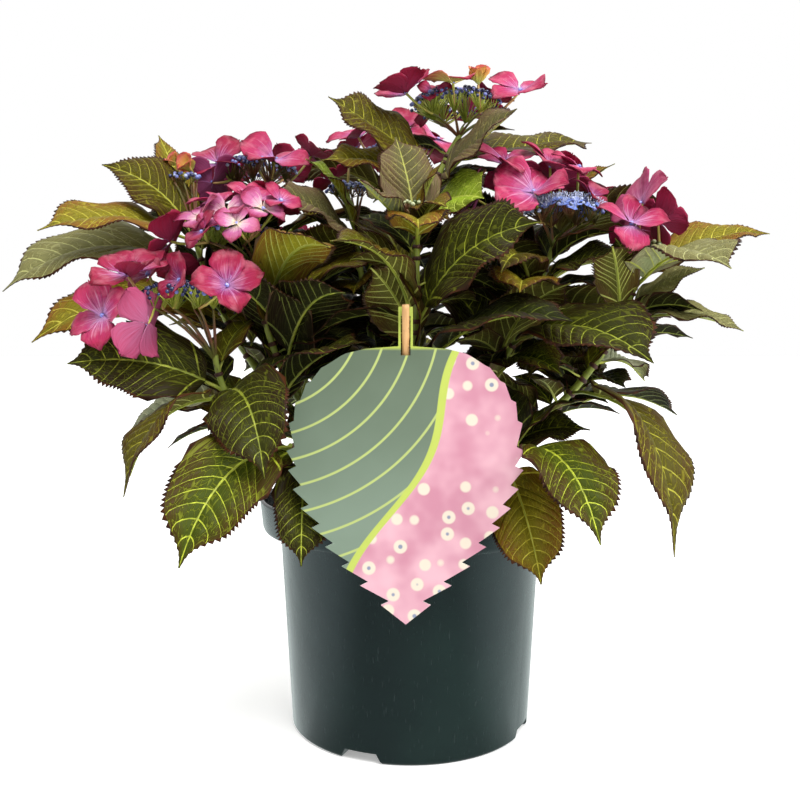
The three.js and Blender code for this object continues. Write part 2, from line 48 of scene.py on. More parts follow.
caneNodes = sorted(name for name in nodes if name.startswith("cane_"))
print("frame loaded with", len(nodes), "nodes")

# foot is the angle and radius on the stump, and hub is where the flower stalks part.
# bow is how far out and how far up the bend lies, as shares of the way to the hub.
# A leaf is its share along the cane, its tip, then its arch, roll, breadth and tone.
# A pair is the share and the heading of two opposite leaves that follow the general rule.
shoots = {
    "top": {
        "foot": (60, 9), "hub": (42, 20, 458), "bow": (-0.9, 0.6),
        "leaves": [
            (0.84, (-61, -10, 475), 0.02, 45, 1.1, "umber"),
            (0.8, (75, -45, 458), 0.02, -45, 1.3, "sheen_grey"),
            (0.88, (158, 105, 464), 0.02, -20, 0.75, "umber"),
            (0.7, (51, -55, 394), 0.1, -45, 1.4, "lime"),
            (0.78, (-66, -12, 428), 0.12, 35, 0.9, "bronze"),
        ],
        "pairs": [(0.5, 150)],
    },
    "farLeft": {
        "foot": (180, 20), "hub": (-168, 12, 380), "bow": (0.82, 0.38),
        "leaves": [
            (0.95, (-261, -60, 371), 0.12, 25, 0.85, "gold"),
            (0.95, (-232, -5, 426), 0.14, 50, 1.15, "umber"),
            (1, (-204, 55, 460), 0.04, 0, 0.6, "gold"),
            (0.86, (-299, -30, 330), 0.18, 30, 0.85, "sage"),
            (0.62, (-267, -60, 293), 0.2, 30, 0.8, "gold"),
        ],
        "pairs": [(0.72, 110)],
    },
    "lowLeft": {
        "foot": (207, 20), "hub": (-138, -60, 284), "bow": (0.95, 0.3),
        "leaves": [
            (0.8, (-230, -95, 279), 0.1, 58, 1.1, "dark"),
            (0.78, (-205, -40, 228), 0.1, 30, 1, "pale"),
            (0.76, (-184, -130, 195), 0.22, -20, 0.95, "umber"),
            (0.8, (-91, -150, 210), 0.2, -35, 1, "dark"),
        ],
        "pairs": [(0.5, 110)],
    },
    "midLeft": {
        "foot": (200, 9), "hub": (-112, -32, 352), "bow": (0.95, 0.3),
        "leaves": [
            (0.8, (-53, -110, 365), 0.22, 20, 0.9, "gold"),
            (0.6, (-44, -100, 326), 0.2, 25, 1, "shade"),
        ],
        "pairs": [(0.72, 150), (0.48, 60)],
    },
    "backLeft": {
        "foot": (152, 20), "hub": (-122, 58, 404), "bow": (0.6, 0.45),
        "leaves": [],
        "pairs": [(0.88, 10), (0.68, 160), (0.48, 60)],
    },
    "backCentre": {
        "foot": (130, 9), "hub": (-44, 38, 386), "bow": (0.6, 0.4),
        "leaves": [
            (0.9, (-99, -40, 415), 0.12, 45, 1, "sheen_grey"),
            (0.95, (-80, 10, 433), 0.15, 30, 0.9, "lime"),
        ],
        "pairs": [(0.72, 50), (0.5, 130)],
    },
    "front": {
        "foot": (272, 9), "hub": (4, -62, 372), "bow": (0.95, 0.45),
        "leaves": [
            (0.97, (-11, -36, 430), 0.05, 10, 1.1, "sheen_grey"),
            (0.97, (-35, -100, 400), 0.02, 20, 1.1, "sheen_grey"),
            (0.94, (22, -66, 418), 0.1, -20, 0.8, "bronze"),
            (0.94, (22, -100, 394), 0.25, -20, 0.8, "bronze"),
            (0.94, (4, -120, 388), 0.2, 0, 1.4, "gold"),
            (0.56, (-28, -78, 344), 0.1, -60, 1.2, "bronze"),
            (0.64, (-52, -120, 358), 0.22, 20, 0.9, "olive"),
            (0.64, (83, -110, 371), 0.16, -60, 1.05, "dark"),
        ],
        "pairs": [(0.46, 160)],
    },
    "right": {
        "foot": (345, 9), "hub": (109, -12, 369), "bow": (0.62, 0.4),
        "leaves": [
            (0.84, (150, -60, 352), 0.12, -30, 1, "dark"),
            (0.8, (60, -90, 340), 0.25, 20, 0.9, "umber"),
            (0.62, (147, -150, 281), 0.12, -20, 0.9, "dark"),
            (0.44, (102, -100, 285), 0.2, -20, 0.9, "green"),
        ],
        "pairs": [(0.74, 80), (0.5, 130)],
    },
    "farRight": {
        "foot": (340, 20), "hub": (168, -30, 349), "bow": (0.85, 0.36),
        "leaves": [
            (0.92, (266, -20, 373), 0.12, -25, 0.85, "gold"),
            (0.8, (234, -60, 301), 0.1, -15, 0.9, "sage"),
            (0.82, (205, -62, 345), 0.06, -35, 0.9, "sage"),
            (0.8, (134, -90, 357), 0.1, -20, 0.8, "umber"),
            (0.5, (168, -130, 156), 0.27, 25, 0.85, "umber"),
            (0.62, (186, 22, 262), 0.15, -20, 1, "pale"),
        ],
        "pairs": [(0.9, 70)],
        # these pair leaves take lighter tones, painted light where the lamps leave the far right
        # dim
        "pairTones": ("gold", "sage"),
    },
    "rear": {
        "foot": (80, 20), "hub": (-10, 140, 436), "bow": (0.6, 0.42),
        "leaves": [],
        "pairs": [(0.93, 20), (0.76, 110), (0.6, 20), (0.45, 110)],
    },
    "rearLeft": {
        "foot": (130, 20), "hub": (-128, 132, 348), "bow": (0.65, 0.42),
        "leaves": [],
        "pairs": [(0.93, 60), (0.75, 150), (0.56, 60)],
    },
    "rearRight": {
        "foot": (45, 20), "hub": (128, 92, 392), "bow": (0.6, 0.42),
        "leaves": [(0.92, (168, 58, 438), 0.15, -20, 0.9, "gold")],
        "pairs": [(0.84, 100), (0.68, 20), (0.5, 110)],
    },
    "lowFrontRight": {
        "foot": (310, 20), "hub": (78, -84, 222), "bow": (0.7, 0.6),
        "leaves": [
            (0.96, (112, -170, 173), 0.2, -5, 0.95, "green"),
            (0.7, (82, -136, 140), 0.08, -30, 0.95, "bronze"),
            (0.6, (127, -60, 231), 0.15, -30, 0.9, "dark"),
        ],
        "pairs": [],
    },
    "lowFrontLeft": {
        "foot": (235, 20), "hub": (-84, -78, 222), "bow": (0.7, 0.6),
        "leaves": [
            (0.96, (-140, -170, 159), 0.18, 35, 0.9, "green"),
            (0.78, (-72, -135, 162), 0.15, 20, 0.95, "dark"),
            (0.88, (-108, -120, 195), 0.1, 20, 0.8, "green"),
        ],
        "pairs": [],
    },
    "lowRearRight": {
        "foot": (15, 20), "hub": (150, 60, 262), "bow": (0.7, 0.4),
        "leaves": [],
        "pairs": [(0.95, 20), (0.78, 110), (0.58, 20)],
    },
    "lowRearLeft": {
        "foot": (105, 20), "hub": (-60, 150, 250), "bow": (0.7, 0.5),
        "leaves": [],
        "pairs": [(0.95, 100), (0.76, 20), (0.56, 110)],
    },
}

# dome is the centre and radius of the cluster of buds, and tone is the kind of bud.
# A floret is its centre and radius, then the heading and rise of its face, and its tone.
# grown, where a head has it, takes the place of its florets once the leaves are settled.
heads = {
    "top": {
        "dome": (36, 24, 473, 36), "tone": "berry",
        "florets": [
            (-3, 8, 481, 27, 200, 62, "crimson"), (33, -6, 488, 21, 90, 78, "flushed"),
            (56, 14, 492, 11, 300, 65, "young"), (86, 20, 486, 26, 330, 66, "crimson"),
            (19, 48, 484, 19, 120, 55, "crimson"), (42, 64, 482, 23, 90, 55, "pink"),
            (76, 56, 481, 22, 50, 55, "crimson"),
        ],
        "grown": [
            (-3, 8, 482, 27, 215, 64, "crimson"), (32, -6, 486, 22, 270, 77, "flushed"),
            (51, -2, 486, 15, 270, 80, "young"), (84, 10, 484, 25, 272, 60, "pink"),
            (17, 4, 481, 14, 265, 62, "crimson"), (62, 30, 481, 20, 40, 66, "crimson"),
            (19, 48, 480, 19, 120, 62, "crimson"), (42, 62, 479, 22, 90, 60, "pink"),
        ],
    },
    "backLeft": {
        "dome": (-126, 66, 430, 34), "tone": "blue",
        "florets": [
            (-158, 54, 448, 27, 240, 52, "crimson"), (-158, 42, 427, 24, 130, 25, "mauve"),
            (-112, 46, 448, 30, 275, 50, "crimson"), (-82, 80, 457, 21, 40, 60, "pink"),
            (-152, 100, 442, 25, 130, 50, "pink"), (-104, 110, 442, 25, 80, 50, "crimson"),
        ],
        "grown": [
            (-156, 54, 437, 26, 250, 66, "crimson"), (-158, 42, 420, 23, 130, 25, "mauve"),
            (-109, 46, 438, 29, 275, 58, "pink"), (-82, 80, 448, 22, 40, 64, "crimson"),
            (-130, 76, 444, 20, 200, 66, "crimson"), (-152, 100, 436, 24, 130, 50, "pink"),
            (-104, 110, 438, 24, 80, 50, "crimson"),
        ],
    },
    "farLeft": {
        "dome": (-174, 16, 418, 12), "tone": "blue",
        "florets": [(-178, 20, 438, 12, 220, 50, "young")],
        "grown": [(-169, 18, 425, 13, 245, 30, "young"), (-181, 22, 430, 11, 215, 50, "young")],
    },
    "midLeft": {
        "dome": (-128, -40, 369, 27), "tone": "berry",
        "grown": [
            (-112, -40, 394, 24, 290, 64, "pink"), (-103, -62, 385, 19, 300, 46, "cream"),
            (-128, -66, 382, 20, 262, 50, "cream"), (-147, -58, 380, 18, 232, 44, "cream"),
            (-136, -38, 393, 22, 240, 66, "pink"), (-118, -82, 373, 15, 275, 34, "cream"),
            (-142, -76, 368, 16, 225, 28, "crimson"), (-92, -52, 392, 16, 310, 52, "pink"),
            (-172, -44, 365, 24, 168, 40, "crimson"), (-152, -30, 388, 17, 200, 60, "mauve"),
            (-108, -8, 392, 22, 60, 50, "crimson"),
        ],
        "florets": [
            (-115, -46, 401, 27, 290, 55, "pink"), (-107, -66, 386, 20, 290, 30, "cream"),
            (-132, -70, 379, 20, 260, 32, "cream"), (-154, -56, 386, 19, 220, 40, "cream"),
            (-136, -34, 402, 22, 200, 68, "pink"), (-172, -42, 373, 24, 140, 42, "crimson"),
            (-108, -8, 392, 22, 60, 50, "crimson"),
        ],
    },
    "lowLeft": {
        "dome": (-160, -64, 322, 30), "tone": "berry",
        "florets": [
            (-206, -80, 341, 30, 250, 72, "crimson"), (-216, -90, 312, 27, 255, 15, "crimson"),
            (-180, -98, 304, 28, 155, 8, "rose"), (-157, -82, 338, 18, 250, 32, "crimson"),
            (-124, -88, 334, 29, 282, 20, "pink"), (-172, -28, 342, 22, 100, 55, "crimson"),
        ],
        "grown": [
            (-192, -82, 338, 28, 245, 64, "crimson"), (-207, -90, 311, 26, 255, 18, "pink"),
            (-175, -98, 306, 27, 158, 6, "rose"), (-156, -84, 335, 18, 225, 14, "crimson"),
            (-124, -88, 331, 24, 284, 30, "crimson"), (-172, -28, 342, 22, 100, 55, "crimson"),
            (-182, -66, 340, 18, 205, 40, "crimson"),
        ],
    },
    "backCentre": {
        "dome": (-50, 40, 412, 17), "tone": "blue",
        "florets": [(-48, 32, 430, 11, 280, 60, "young"), (-62, 58, 424, 16, 120, 50, "crimson")],
    },
    "front": {"dome": (2, -66, 386, 10), "tone": "white", "florets": []},
    "right": {
        "dome": (116, -14, 386, 30), "tone": "open",
        "florets": [
            (71, -4, 426, 28, 280, 58, "pink"), (94, -34, 400, 30, 265, 56, "pink"),
            (106, 0, 425, 26, 300, 58, "pink"), (141, 6, 428, 24, 340, 68, "pink"),
            (140, -14, 404, 15, 320, 40, "crimson"), (50, -16, 398, 20, 200, 22, "mauve"),
            (84, 34, 424, 24, 110, 52, "pink"), (120, 36, 422, 24, 60, 52, "pink"),
        ],
        "grown": [
            (71, -4, 427, 29, 278, 56, "pink"), (89, -34, 401, 31, 262, 54, "pink"),
            (106, 0, 425, 27, 300, 60, "pink"), (128, 2, 425, 21, 330, 64, "pink"),
            (134, -14, 402, 16, 320, 40, "crimson"), (50, -16, 398, 20, 200, 22, "mauve"),
            (84, 34, 420, 24, 110, 56, "pink"), (120, 36, 418, 24, 60, 56, "pink"),
        ],
    },
    "farRight": {
        "dome": (172, -32, 360, 15), "tone": "green",
        "florets": [
            (155, -54, 376, 27, 282, 50, "pink"), (167, -36, 393, 25, 190, 16, "rose"),
            (178, -40, 381, 24, 25, 22, "pink"), (172, 2, 378, 22, 80, 42, "pink"),
        ],
    },
    "rear": {
        "dome": (-12, 140, 456, 32), "tone": "blue",
        "florets": [
            (-45, 130, 474, 25, 220, 55, "pink"), (-8, 112, 474, 25, 270, 55, "crimson"),
            (26, 132, 472, 25, 330, 55, "pink"), (18, 166, 470, 25, 40, 50, "crimson"),
            (-20, 176, 470, 25, 100, 50, "pink"), (-48, 158, 470, 22, 150, 50, "crimson"),
        ],
    },
    "rearLeft": {
        "dome": (-130, 136, 366, 30), "tone": "berry",
        "florets": [
            (-94, 126, 379, 24, 300, 45, "crimson"), (-160, 120, 382, 25, 210, 50, "pink"),
            (-134, 106, 388, 24, 260, 60, "pink"), (-150, 158, 380, 25, 140, 45, "crimson"),
            (-112, 164, 380, 25, 80, 45, "pink"),
        ],
    },
    "rearRight": {
        "dome": (130, 98, 408, 30), "tone": "open",
        "florets": [
            (100, 92, 424, 24, 200, 55, "pink"), (132, 76, 426, 22, 280, 60, "pink"),
            (160, 100, 422, 25, 0, 50, "crimson"), (142, 128, 420, 25, 70, 45, "pink"),
            (108, 124, 422, 24, 130, 48, "pink"),
        ],
    },
}


# Numbers and curves
def seededNumbers(seed):
    multiplier, modulus = 7**5, 2**31 - 1
    state = seed

    def draw():
        nonlocal state
        state = state * multiplier % modulus
        return state / modulus

    return draw


def unit(vector):
    return vector / np.linalg.norm(vector, axis=-1, keepdims=True)


def direction(heading, rise):
    flat = math.cos(math.radians(rise))
    angle = math.radians(heading)
    return np.array([flat * math.cos(angle), flat * math.sin(angle), math.sin(math.radians(rise))])


# The two directions across a way, which makes them a frame
def acrossWay(way, steep):
    across = unit(np.cross(sideways if steep else up, way))
    return across, np.cross(way, across)


# A curve is its start, its bend and its end
def curvePoint(curve, share):
    start, bend, end = curve
    share = np.asarray(share, float)[..., None]
    return (1 - share) ** 2 * start + 2 * share * (1 - share) * bend + share**2 * end


def curveWay(curve, share):
    start, bend, end = curve
    share = np.asarray(share, float)[..., None]
    return unit((1 - share) * (bend - start) + share * (end - bend))


def smoothStep(low, high, value):
    share = np.clip((value - low) / (high - low), 0, 1)
    return share * share * (3 - 2 * share)


# Heaps of faces, which are joined into one piece
def newHeap():
    return {"corners": [], "faces": [], "finishes": [], "spots": [], "count": 0}


# finishes is one finish or one for each face, and spots are places in the piece's own pattern
def pour(heap, corners, faces, finishes=0, spots=None):
    start = heap["count"]
    if spots is not None:
        heap["spots"].append(spots)
    heap["corners"].append(corners)
    heap["faces"].extend([tuple(corner + start for corner in face) for face in faces])
    heap["finishes"].extend([finishes] * len(faces) if isinstance(finishes, int) else finishes)
    heap["count"] += len(corners)


def takeShape(bm):
    bm.verts.index_update()
    corners = np.array([vert.co[:] for vert in bm.verts])
    faces = [tuple(vert.index for vert in face.verts) for face in bm.faces]
    bm.free()
    return corners, faces


def settle(piece, materials, replaced=()):
    for material in materials:
        piece.data.materials.append(material)
    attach(piece, "root")
    if replaced:
        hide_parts(*replaced)
    return piece


def addObject(name, data):
    made = bpy.data.objects.new(name, data)
    bpy.context.scene.collection.objects.link(made)
    return made


def meshFromBmesh(name, bm):
    mesh = bpy.data.meshes.new(name)
    bm.to_mesh(mesh)
    bm.free()
    return mesh


def pieceFromHeap(name, heap, materials, replaced=()):
    mesh = bpy.data.meshes.new(name)
    mesh.from_pydata((np.concatenate(heap["corners"]) * mm).tolist(), [], heap["faces"])
    mesh.polygons.foreach_set("material_index", heap["finishes"])
    mesh.polygons.foreach_set("use_smooth", [True] * len(mesh.polygons))
    if heap["spots"]:
        corner = np.empty(len(mesh.loops), dtype=np.int32)
        mesh.loops.foreach_get("vertex_index", corner)
        spots = np.concatenate(heap["spots"])[corner]
        mesh.uv_layers.new(name="pattern").data.foreach_set("uv", spots.ravel())
    mesh.update()
    print(name, len(mesh.polygons), "faces")
    return settle(addObject(name, mesh), materials, replaced)


# A thin sheet gets its thickness, and its underside takes the later half of its materials
def addWall(piece, thickness, offset):
    wall = piece.modifiers.new("wall", "SOLIDIFY")
    wall.thickness = thickness * mm
    wall.offset = -1
    wall.material_offset = offset


def pieceFromBmesh(name, bm, materials, replaced=(), sharpAngle=40):
    bmesh.ops.scale(bm, vec=(mm, mm, mm), verts=bm.verts)
    for face in bm.faces:
        face.smooth = True
    for edge in bm.edges:
        edge.smooth = not edge.is_manifold or edge.calc_face_angle(0) < math.radians(sharpAngle)
    mesh = meshFromBmesh(name, bm)
    print(name, len(mesh.polygons), "faces")
    return settle(addObject(name, mesh), materials, replaced)


# A closed tube whose corners hold the turn about its run and the row along it
def tubeShape(sides, rows):
    bm = bmesh.new()
    bmesh.ops.create_cone(bm, cap_ends=True, segments=sides, radius1=1, radius2=1, depth=rows)
    runs = [edge for edge in bm.edges if abs(edge.verts[0].co.z - edge.verts[1].co.z) > 0.5 * rows]
    if rows > 1:
        bmesh.ops.subdivide_edges(bm, edges=runs, cuts=rows - 1)
    return takeShape(bm)


# The tube bent along its points, with a radius at each
def bendTube(shape, points, radii):
    corners, faces = shape
    last = len(points) - 1
    row = np.rint(corners[:, 2] + last / 2).astype(int)
    way = unit(np.gradient(points, axis=0))
    across, over = acrossWay(way, abs(unit(points[-1] - points[0])[2]) > steepRise)
    out = corners[:, :1] * across[row] + corners[:, 1:2] * over[row]
    return points[row] + np.asarray(radii)[row][:, None] * out, faces


# Materials
class Value:
    def __init__(self, graph, socket):
        self.graph = graph
        self.socket = socket

    def __add__(self, other):
        return self.graph.maths("ADD", self, other)

    def __sub__(self, other):
        return self.graph.maths("SUBTRACT", self, other)

    def __rsub__(self, other):
        return self.graph.maths("SUBTRACT", other, self)

    def __mul__(self, other):
        return self.graph.maths("MULTIPLY", self, other)

    def __truediv__(self, other):
        return self.graph.maths("DIVIDE", self, other)

    def __gt__(self, other):
        return self.graph.maths("GREATER_THAN", self, other)

    __radd__ = __add__
    __rmul__ = __mul__


class Graph:
    def __init__(self, tree):
        self.tree = tree

    # a value is linked to its socket, and a plain number or colour is set on it
    def feed(self, made, sockets):
        for key, value in sockets.items():
            if isinstance(value, Value):
                self.tree.links.new(value.socket, made.inputs[key])
            else:
                made.inputs[key].default_value = value

    def node(self, kind, settings=None, sockets=None, out=0):
        made = self.tree.nodes.new("ShaderNode" + kind)
        for key, value in (settings or {}).items():
            setattr(made, key, value)
        self.feed(made, sockets or {})
        return Value(self, made.outputs[out])

    def maths(self, operation, *terms):
        return self.node("Math", {"operation": operation}, dict(enumerate(terms)))

    def part(self, vector, axis):
        return self.node("SeparateXYZ", {}, {"Vector": vector}, axis)

    def stretched(self, vector, stretch):
        return self.node("Mapping", {}, {"Vector": vector, "Scale": stretch})

    def noise(self, vector, scale, detail, out="Fac"):
        return self.node("TexNoise", {}, {"Vector": vector, "Scale": scale, "Detail": detail}, out)

    # from the first to the last number as the value goes from low to high
    def ramp(self, value, low, high, first=0.0, last=1.0, smooth=False):
        return self.node("MapRange", {"interpolation_type": "SMOOTHSTEP" if smooth else "LINEAR"}, {
            "Value": value, "From Min": low, "From Max": high, "To Min": first, "To Max": last,
        })


class Paint(Graph):
    def __init__(self, name):
        self.material = bpy.data.materials.new(name)
        self.material.use_nodes = True
        super().__init__(self.material.node_tree)
        self.skin = self.tree.nodes["Principled BSDF"]
        self.place = self.node("TexCoord", out="Object")

    # the place in the piece's own pattern: across the growth in x, along it in y
    def spot(self):
        return self.node("UVMap", {"uv_map": "pattern"})

    def grain(self, scale, detail=3, stretch=(1, 1, 1)):
        return self.noise(self.stretched(self.place, stretch), scale, detail)

    # grain drawn out to a 0 to 1 share between two of its levels
    def patches(self, scale, low=0.35, high=0.65, detail=3, stretch=(1, 1, 1)):
        return self.ramp(self.grain(scale, detail, stretch), low, high, smooth=True)

    def blend(self, factor, first, second):
        return self.node("Mix", {"data_type": "RGBA"}, {0: factor, 6: first, 7: second}, 2)

    def finish(self, colour, rough, height=None, depth=0.0002, **steady):
        fed = {"Base Color": colour, "Roughness": rough}
        if height is not None:
            fed["Normal"] = self.node("Bump", {}, {"Distance": depth, "Height": height}, "Normal")
        fed.update({key.replace("_", " "): value for key, value in steady.items()})
        self.feed(self.skin, fed)
        return self.material


# A screen colour, as rrggbb, in the linear light that a shader takes
def hue(text):
    def linear(part):
        return part / 12.92 if part <= 0.04045 else ((part + 0.055) / 1.055) ** 2.4

    return (*(linear(int(text[start:start + 2], 16) / 255) for start in (0, 2, 4)), 1)


# A living skin: two hues in soft patches, with fine grain in its gloss and relief
def livingFinish(name, first, second, patch=120, grain=900, rough=(0.4, 0.55), depth=0.0001,
                 **steady):
    paint = Paint(name)
    fine = paint.grain(grain)
    colour = paint.blend(paint.patches(patch), hue(first), hue(second))
    low, high = rough
    return paint.finish(colour, fine * (high - low) + low, fine, depth, **steady)


bladePaint = {
    "ladder": (1.0, 8.0, 1.0), "sway": 0.9, "bend": (0.3, 0.5, 0.0), "cells": 1.3, "stray": 0.75,
    "line": (0.02, 0.065), "broad": (38, 0.9), "fine": (170, 0.4), "even": 0.65,
    "turn": (0.1, 0.85), "relief": 0.0005, "specular": 0.1,
}


# A blade: green along the midrib turns to the outer hue, under a net of the finest veins
def bladeFinish(name, inner, outer, net, netShare=0.55, rough=0.5):
    paint = Paint(name)
    spot = paint.spot()
    ladder = paint.stretched(spot, bladePaint["ladder"])
    sway = paint.noise(ladder, bladePaint["sway"], 1.0, "Color")
    bent = paint.node("VectorMath", {"operation": "MULTIPLY_ADD"},
                      {0: sway, 1: bladePaint["bend"], 2: ladder})
    cells = paint.node("TexVoronoi", {"feature": "DISTANCE_TO_EDGE"}, {
        "Vector": bent, "Scale": bladePaint["cells"], "Randomness": bladePaint["stray"],
    })
    line = paint.ramp(cells, *bladePaint["line"], 1.0, 0.0)
    (broad, broadShare), (fine, fineShare) = bladePaint["broad"], bladePaint["fine"]
    drift = paint.grain(broad, 3) * broadShare + paint.grain(fine, 2) * fineShare
    fromMidrib = paint.maths("ABSOLUTE", paint.part(spot, "Y"))
    turned = paint.ramp(fromMidrib + (drift - bladePaint["even"]), *bladePaint["turn"], smooth=True)
    colour = paint.blend(turned, hue(inner), hue(outer))
    colour = paint.blend(line * netShare, colour, hue(net))
    gloss = paint.grain(200) * 0.2 + (rough - 0.1)
    return paint.finish(colour, gloss, 1 - line, bladePaint["relief"],
                        Specular_IOR_Level=bladePaint["specular"])


# inner, outer, fine net, side veins
bladeHues = {
    "dark": ("31330c", "271d09", "626819", "9aa233"),
    # shade: a darker copy of the blade, painted shade for the leaves inside the bush
    "shade": ("23270b", "1f170a", "464d13", "747e28"),
    "umber": ("4a440b", "43300b", "7d7818", "a29e2a"),
    "bronze": ("645c0f", "5f420f", "90851f", "aea634"),
    "green": ("3c460d", "3f310d", "79811e", "b6c036"),
    "olive": ("525110", "533d10", "858621", "aeb035"),
    # the next tone is a greyish mauve leaf colour with painted sheen: the grey that gloss gives a
    # satin upper face
    "sheen_grey": ("5c5836", "66533b", "888050", "a6a247"),
    "sage": ("7c7a4c", "706b40", "a1a06a", "b6b874"),
    # the gold and lime tones are golden and yellow-green leaf colour with painted backlight, the
    # glow of a leaf lit from behind
    "gold": ("776f16", "78501b", "9f952c", "bcb53f"),
    "lime": ("8ba32a", "6d7a1f", "bccb4d", "d3dd6a"),
    "pale": ("9fa685", "8f8e70", "c4c8a2", "cdd1a4"),
}
bladeSkins = {name: bladeFinish(name + "_blade", *hues[:3]) for name, hues in bladeHues.items()}
bladeVeins = {
    name: livingFinish(name + "_vein", hues[3], hues[2], 200, 900, (0.45, 0.55),
                       Specular_IOR_Level=0.2)
    for name, hues in bladeHues.items()
}
marginRed = livingFinish("leaf_margin", "26140a", "44240f", rough=(0.5, 0.6),
                         Specular_IOR_Level=0.12)
underMargin = livingFinish("under_margin", "4a3320", "5e4528", rough=(0.5, 0.6))
underVein = livingFinish("under_vein", "a3aa45", "b6ba5c", rough=(0.5, 0.6))
# the undersides of the dark and shade tones, and their veins, are darkened as painted shade
paintedShadeVein = livingFinish("under_dark_vein", "5d6723", "717c2d", rough=(0.5, 0.6))
plainUnder = (bladeFinish("under_blade", "5c5b27", "55431f", "8a8a3a", 0.35, 0.62), underVein)
paleUnder = (bladeFinish("under_pale", "8c9468", "84805c", "b9bc8c", 0.35, 0.62), underVein)
paintedShadeUnder = (bladeFinish("under_painted_shade", "26280f", "241b0e", "4a4c1e", 0.4, 0.6), paintedShadeVein)
goldUnder = (bladeFinish("under_gold", "86851f", "7d5a20", "b3ad3a", 0.4, 0.6), underVein)
unders = {
    "dark": paintedShadeUnder, "shade": paintedShadeUnder, "gold": goldUnder, "lime": goldUnder,
    "sheen_grey": paleUnder, "sage": paleUnder, "pale": paleUnder,
}
stalkGreen = livingFinish("stalk_green", "7f8d2c", "a3a83e", 80, 700, (0.35, 0.5), 0.00015)
stalkLime = livingFinish("stalk_lime", "a7ae48", "b98f5a", 60, 700, (0.4, 0.55), 0.00015)
stalkRed = livingFinish("stalk_red", "5d6227", "75452f", 60, 700, (0.4, 0.55), 0.00015)
nodeBrown = livingFinish("node_brown", "3b1b14", "57301d", 300, 900, (0.5, 0.7), 0.0003)


def caneFinish():
    paint = Paint("cane_skin")
    skin = paint.blend(paint.patches(45), hue("6f7d25"), hue("8f9b3c"))
    pores = paint.patches(420, 0.6, 0.68, 2, (1, 1, 0.35))
    colour = paint.blend(pores * 0.75, skin, hue("4a2d1b"))
    ridges = paint.grain(260, 4, (1, 1, 0.12))
    return paint.finish(colour, ridges * 0.2 + 0.35, ridges + pores * 0.6, 0.0005)


caneSkin = caneFinish()

petalBands = (0.0, 0.22, 0.48, 0.84, 1.0)  # the way from the eye, 0, to the rim, 1
# A tone is the hues at those shares, then its pale streaks and its underside.
# The rim's hue is also that of the painted shade in the folds and of the fine veins.
floretTones = {
    "crimson": ("8464a8", "903a74", "98244c", "8f1937", "5e0d22", "c89cc8", "8c2a4a"),
    "pink": ("9c84c6", "ac588c", "ab3060", "a3264a", "6e1030", "dcb0d2", "983c5e"),
    "mauve": ("9178b4", "8c5286", "84346a", "7c264e", "561432", "c8aed0", "8a466e"),
    "cream": ("dcd68c", "e0bcc2", "be6a9c", "962a52", "6a1030", "ece4d0", "ac7484"),
    "rose": ("a67cb0", "ac6088", "a84870", "a23e60", "7c2040", "cc98b4", "a05678"),
    "flushed": ("b0b850", "d9c56a", "bd5a44", "a3263f", "80172f", "dfe09a", "b9b860"),
    "young": ("a9bd3f", "cfd05f", "d9b45c", "c2693f", "a8323f", "e6dc84", "bdc95e"),
}
petalPaint = {
    "streaks": ((9.0, 0.8, 1.0), 1.2, 3.0), "threads": ((30.0, 1.6, 1.0), 1.0, 1.0),
    "threadLine": (0.52, 0.64), "threadShare": 0.35, "overlap": 0.05, "stray": 0.6,
    "rayShare": 0.5, "foldShadeShare": 0.5, "mottling": (140, 0.42, 0.7), "mottlingShare": 0.16,
    "mottlingHue": "e8a6b4", "relief": 0.0005, "specular": 0.14,
}


# Noise drawn out along the sepal, from the eye to the rim
def petalNoise(paint, key):
    stretch, scale, detail = petalPaint[key]
    return paint.noise(paint.stretched(paint.spot(), stretch), scale, detail)


# The fine dark veins between the streaks
def addThreads(paint, colour, tone):
    threads = paint.ramp(petalNoise(paint, "threads"), *petalPaint["threadLine"])
    return paint.blend(threads * petalPaint["threadShare"], colour, hue(floretTones[tone][4]))


# One band of a sepal, from its inner hue to its outer hue
def petalFinish(tone, band):
    paint = Paint("petal_" + tone + "_" + str(band + 1))
    run = paint.part(paint.spot(), "Y")
    streak = petalNoise(paint, "streaks")
    low, high = petalBands[band:band + 2]
    turned = paint.ramp(run + (streak - 0.5) * petalPaint["stray"],
                        low - petalPaint["overlap"], high + petalPaint["overlap"])
    hues = [hue(text) for text in floretTones[tone]]
    colour = paint.blend(turned, hues[band], hues[band + 1])
    ray = paint.ramp(streak - run * 0.32, 0.4, 0.56)
    colour = paint.blend(ray * petalPaint["rayShare"], colour, hues[5])
    # painted shade: streaks darkened towards the rim's hue, as if lying in the sepal's folds
    fold = paint.ramp(streak + run * 0.1, 0.5, 0.36)
    colour = paint.blend(fold * petalPaint["foldShadeShare"], colour, hues[4])
    colour = addThreads(paint, colour, tone)
    mottling = paint.patches(*petalPaint["mottling"]) * petalPaint["mottlingShare"]
    colour = paint.blend(mottling, colour, hue(petalPaint["mottlingHue"]))
    height = streak + paint.grain(500) * 0.4
    return paint.finish(colour, streak * 0.15 + 0.5, height, petalPaint["relief"],
                        Specular_IOR_Level=petalPaint["specular"])


def petalUnder(tone):
    paint = Paint("petal_" + tone + "_under")
    streak = petalNoise(paint, "streaks")
    ray = paint.ramp(streak * 0.7 + paint.part(paint.spot(), "Y") * 0.5, 0.4, 0.75)
    colour = paint.blend(ray * 0.8, hue(floretTones[tone][6]), hue(floretTones[tone][3]))
    colour = addThreads(paint, colour, tone)
    return paint.finish(colour, streak * 0.15 + 0.55, streak, petalPaint["relief"],
                        Specular_IOR_Level=petalPaint["specular"])


print("living finishes made")

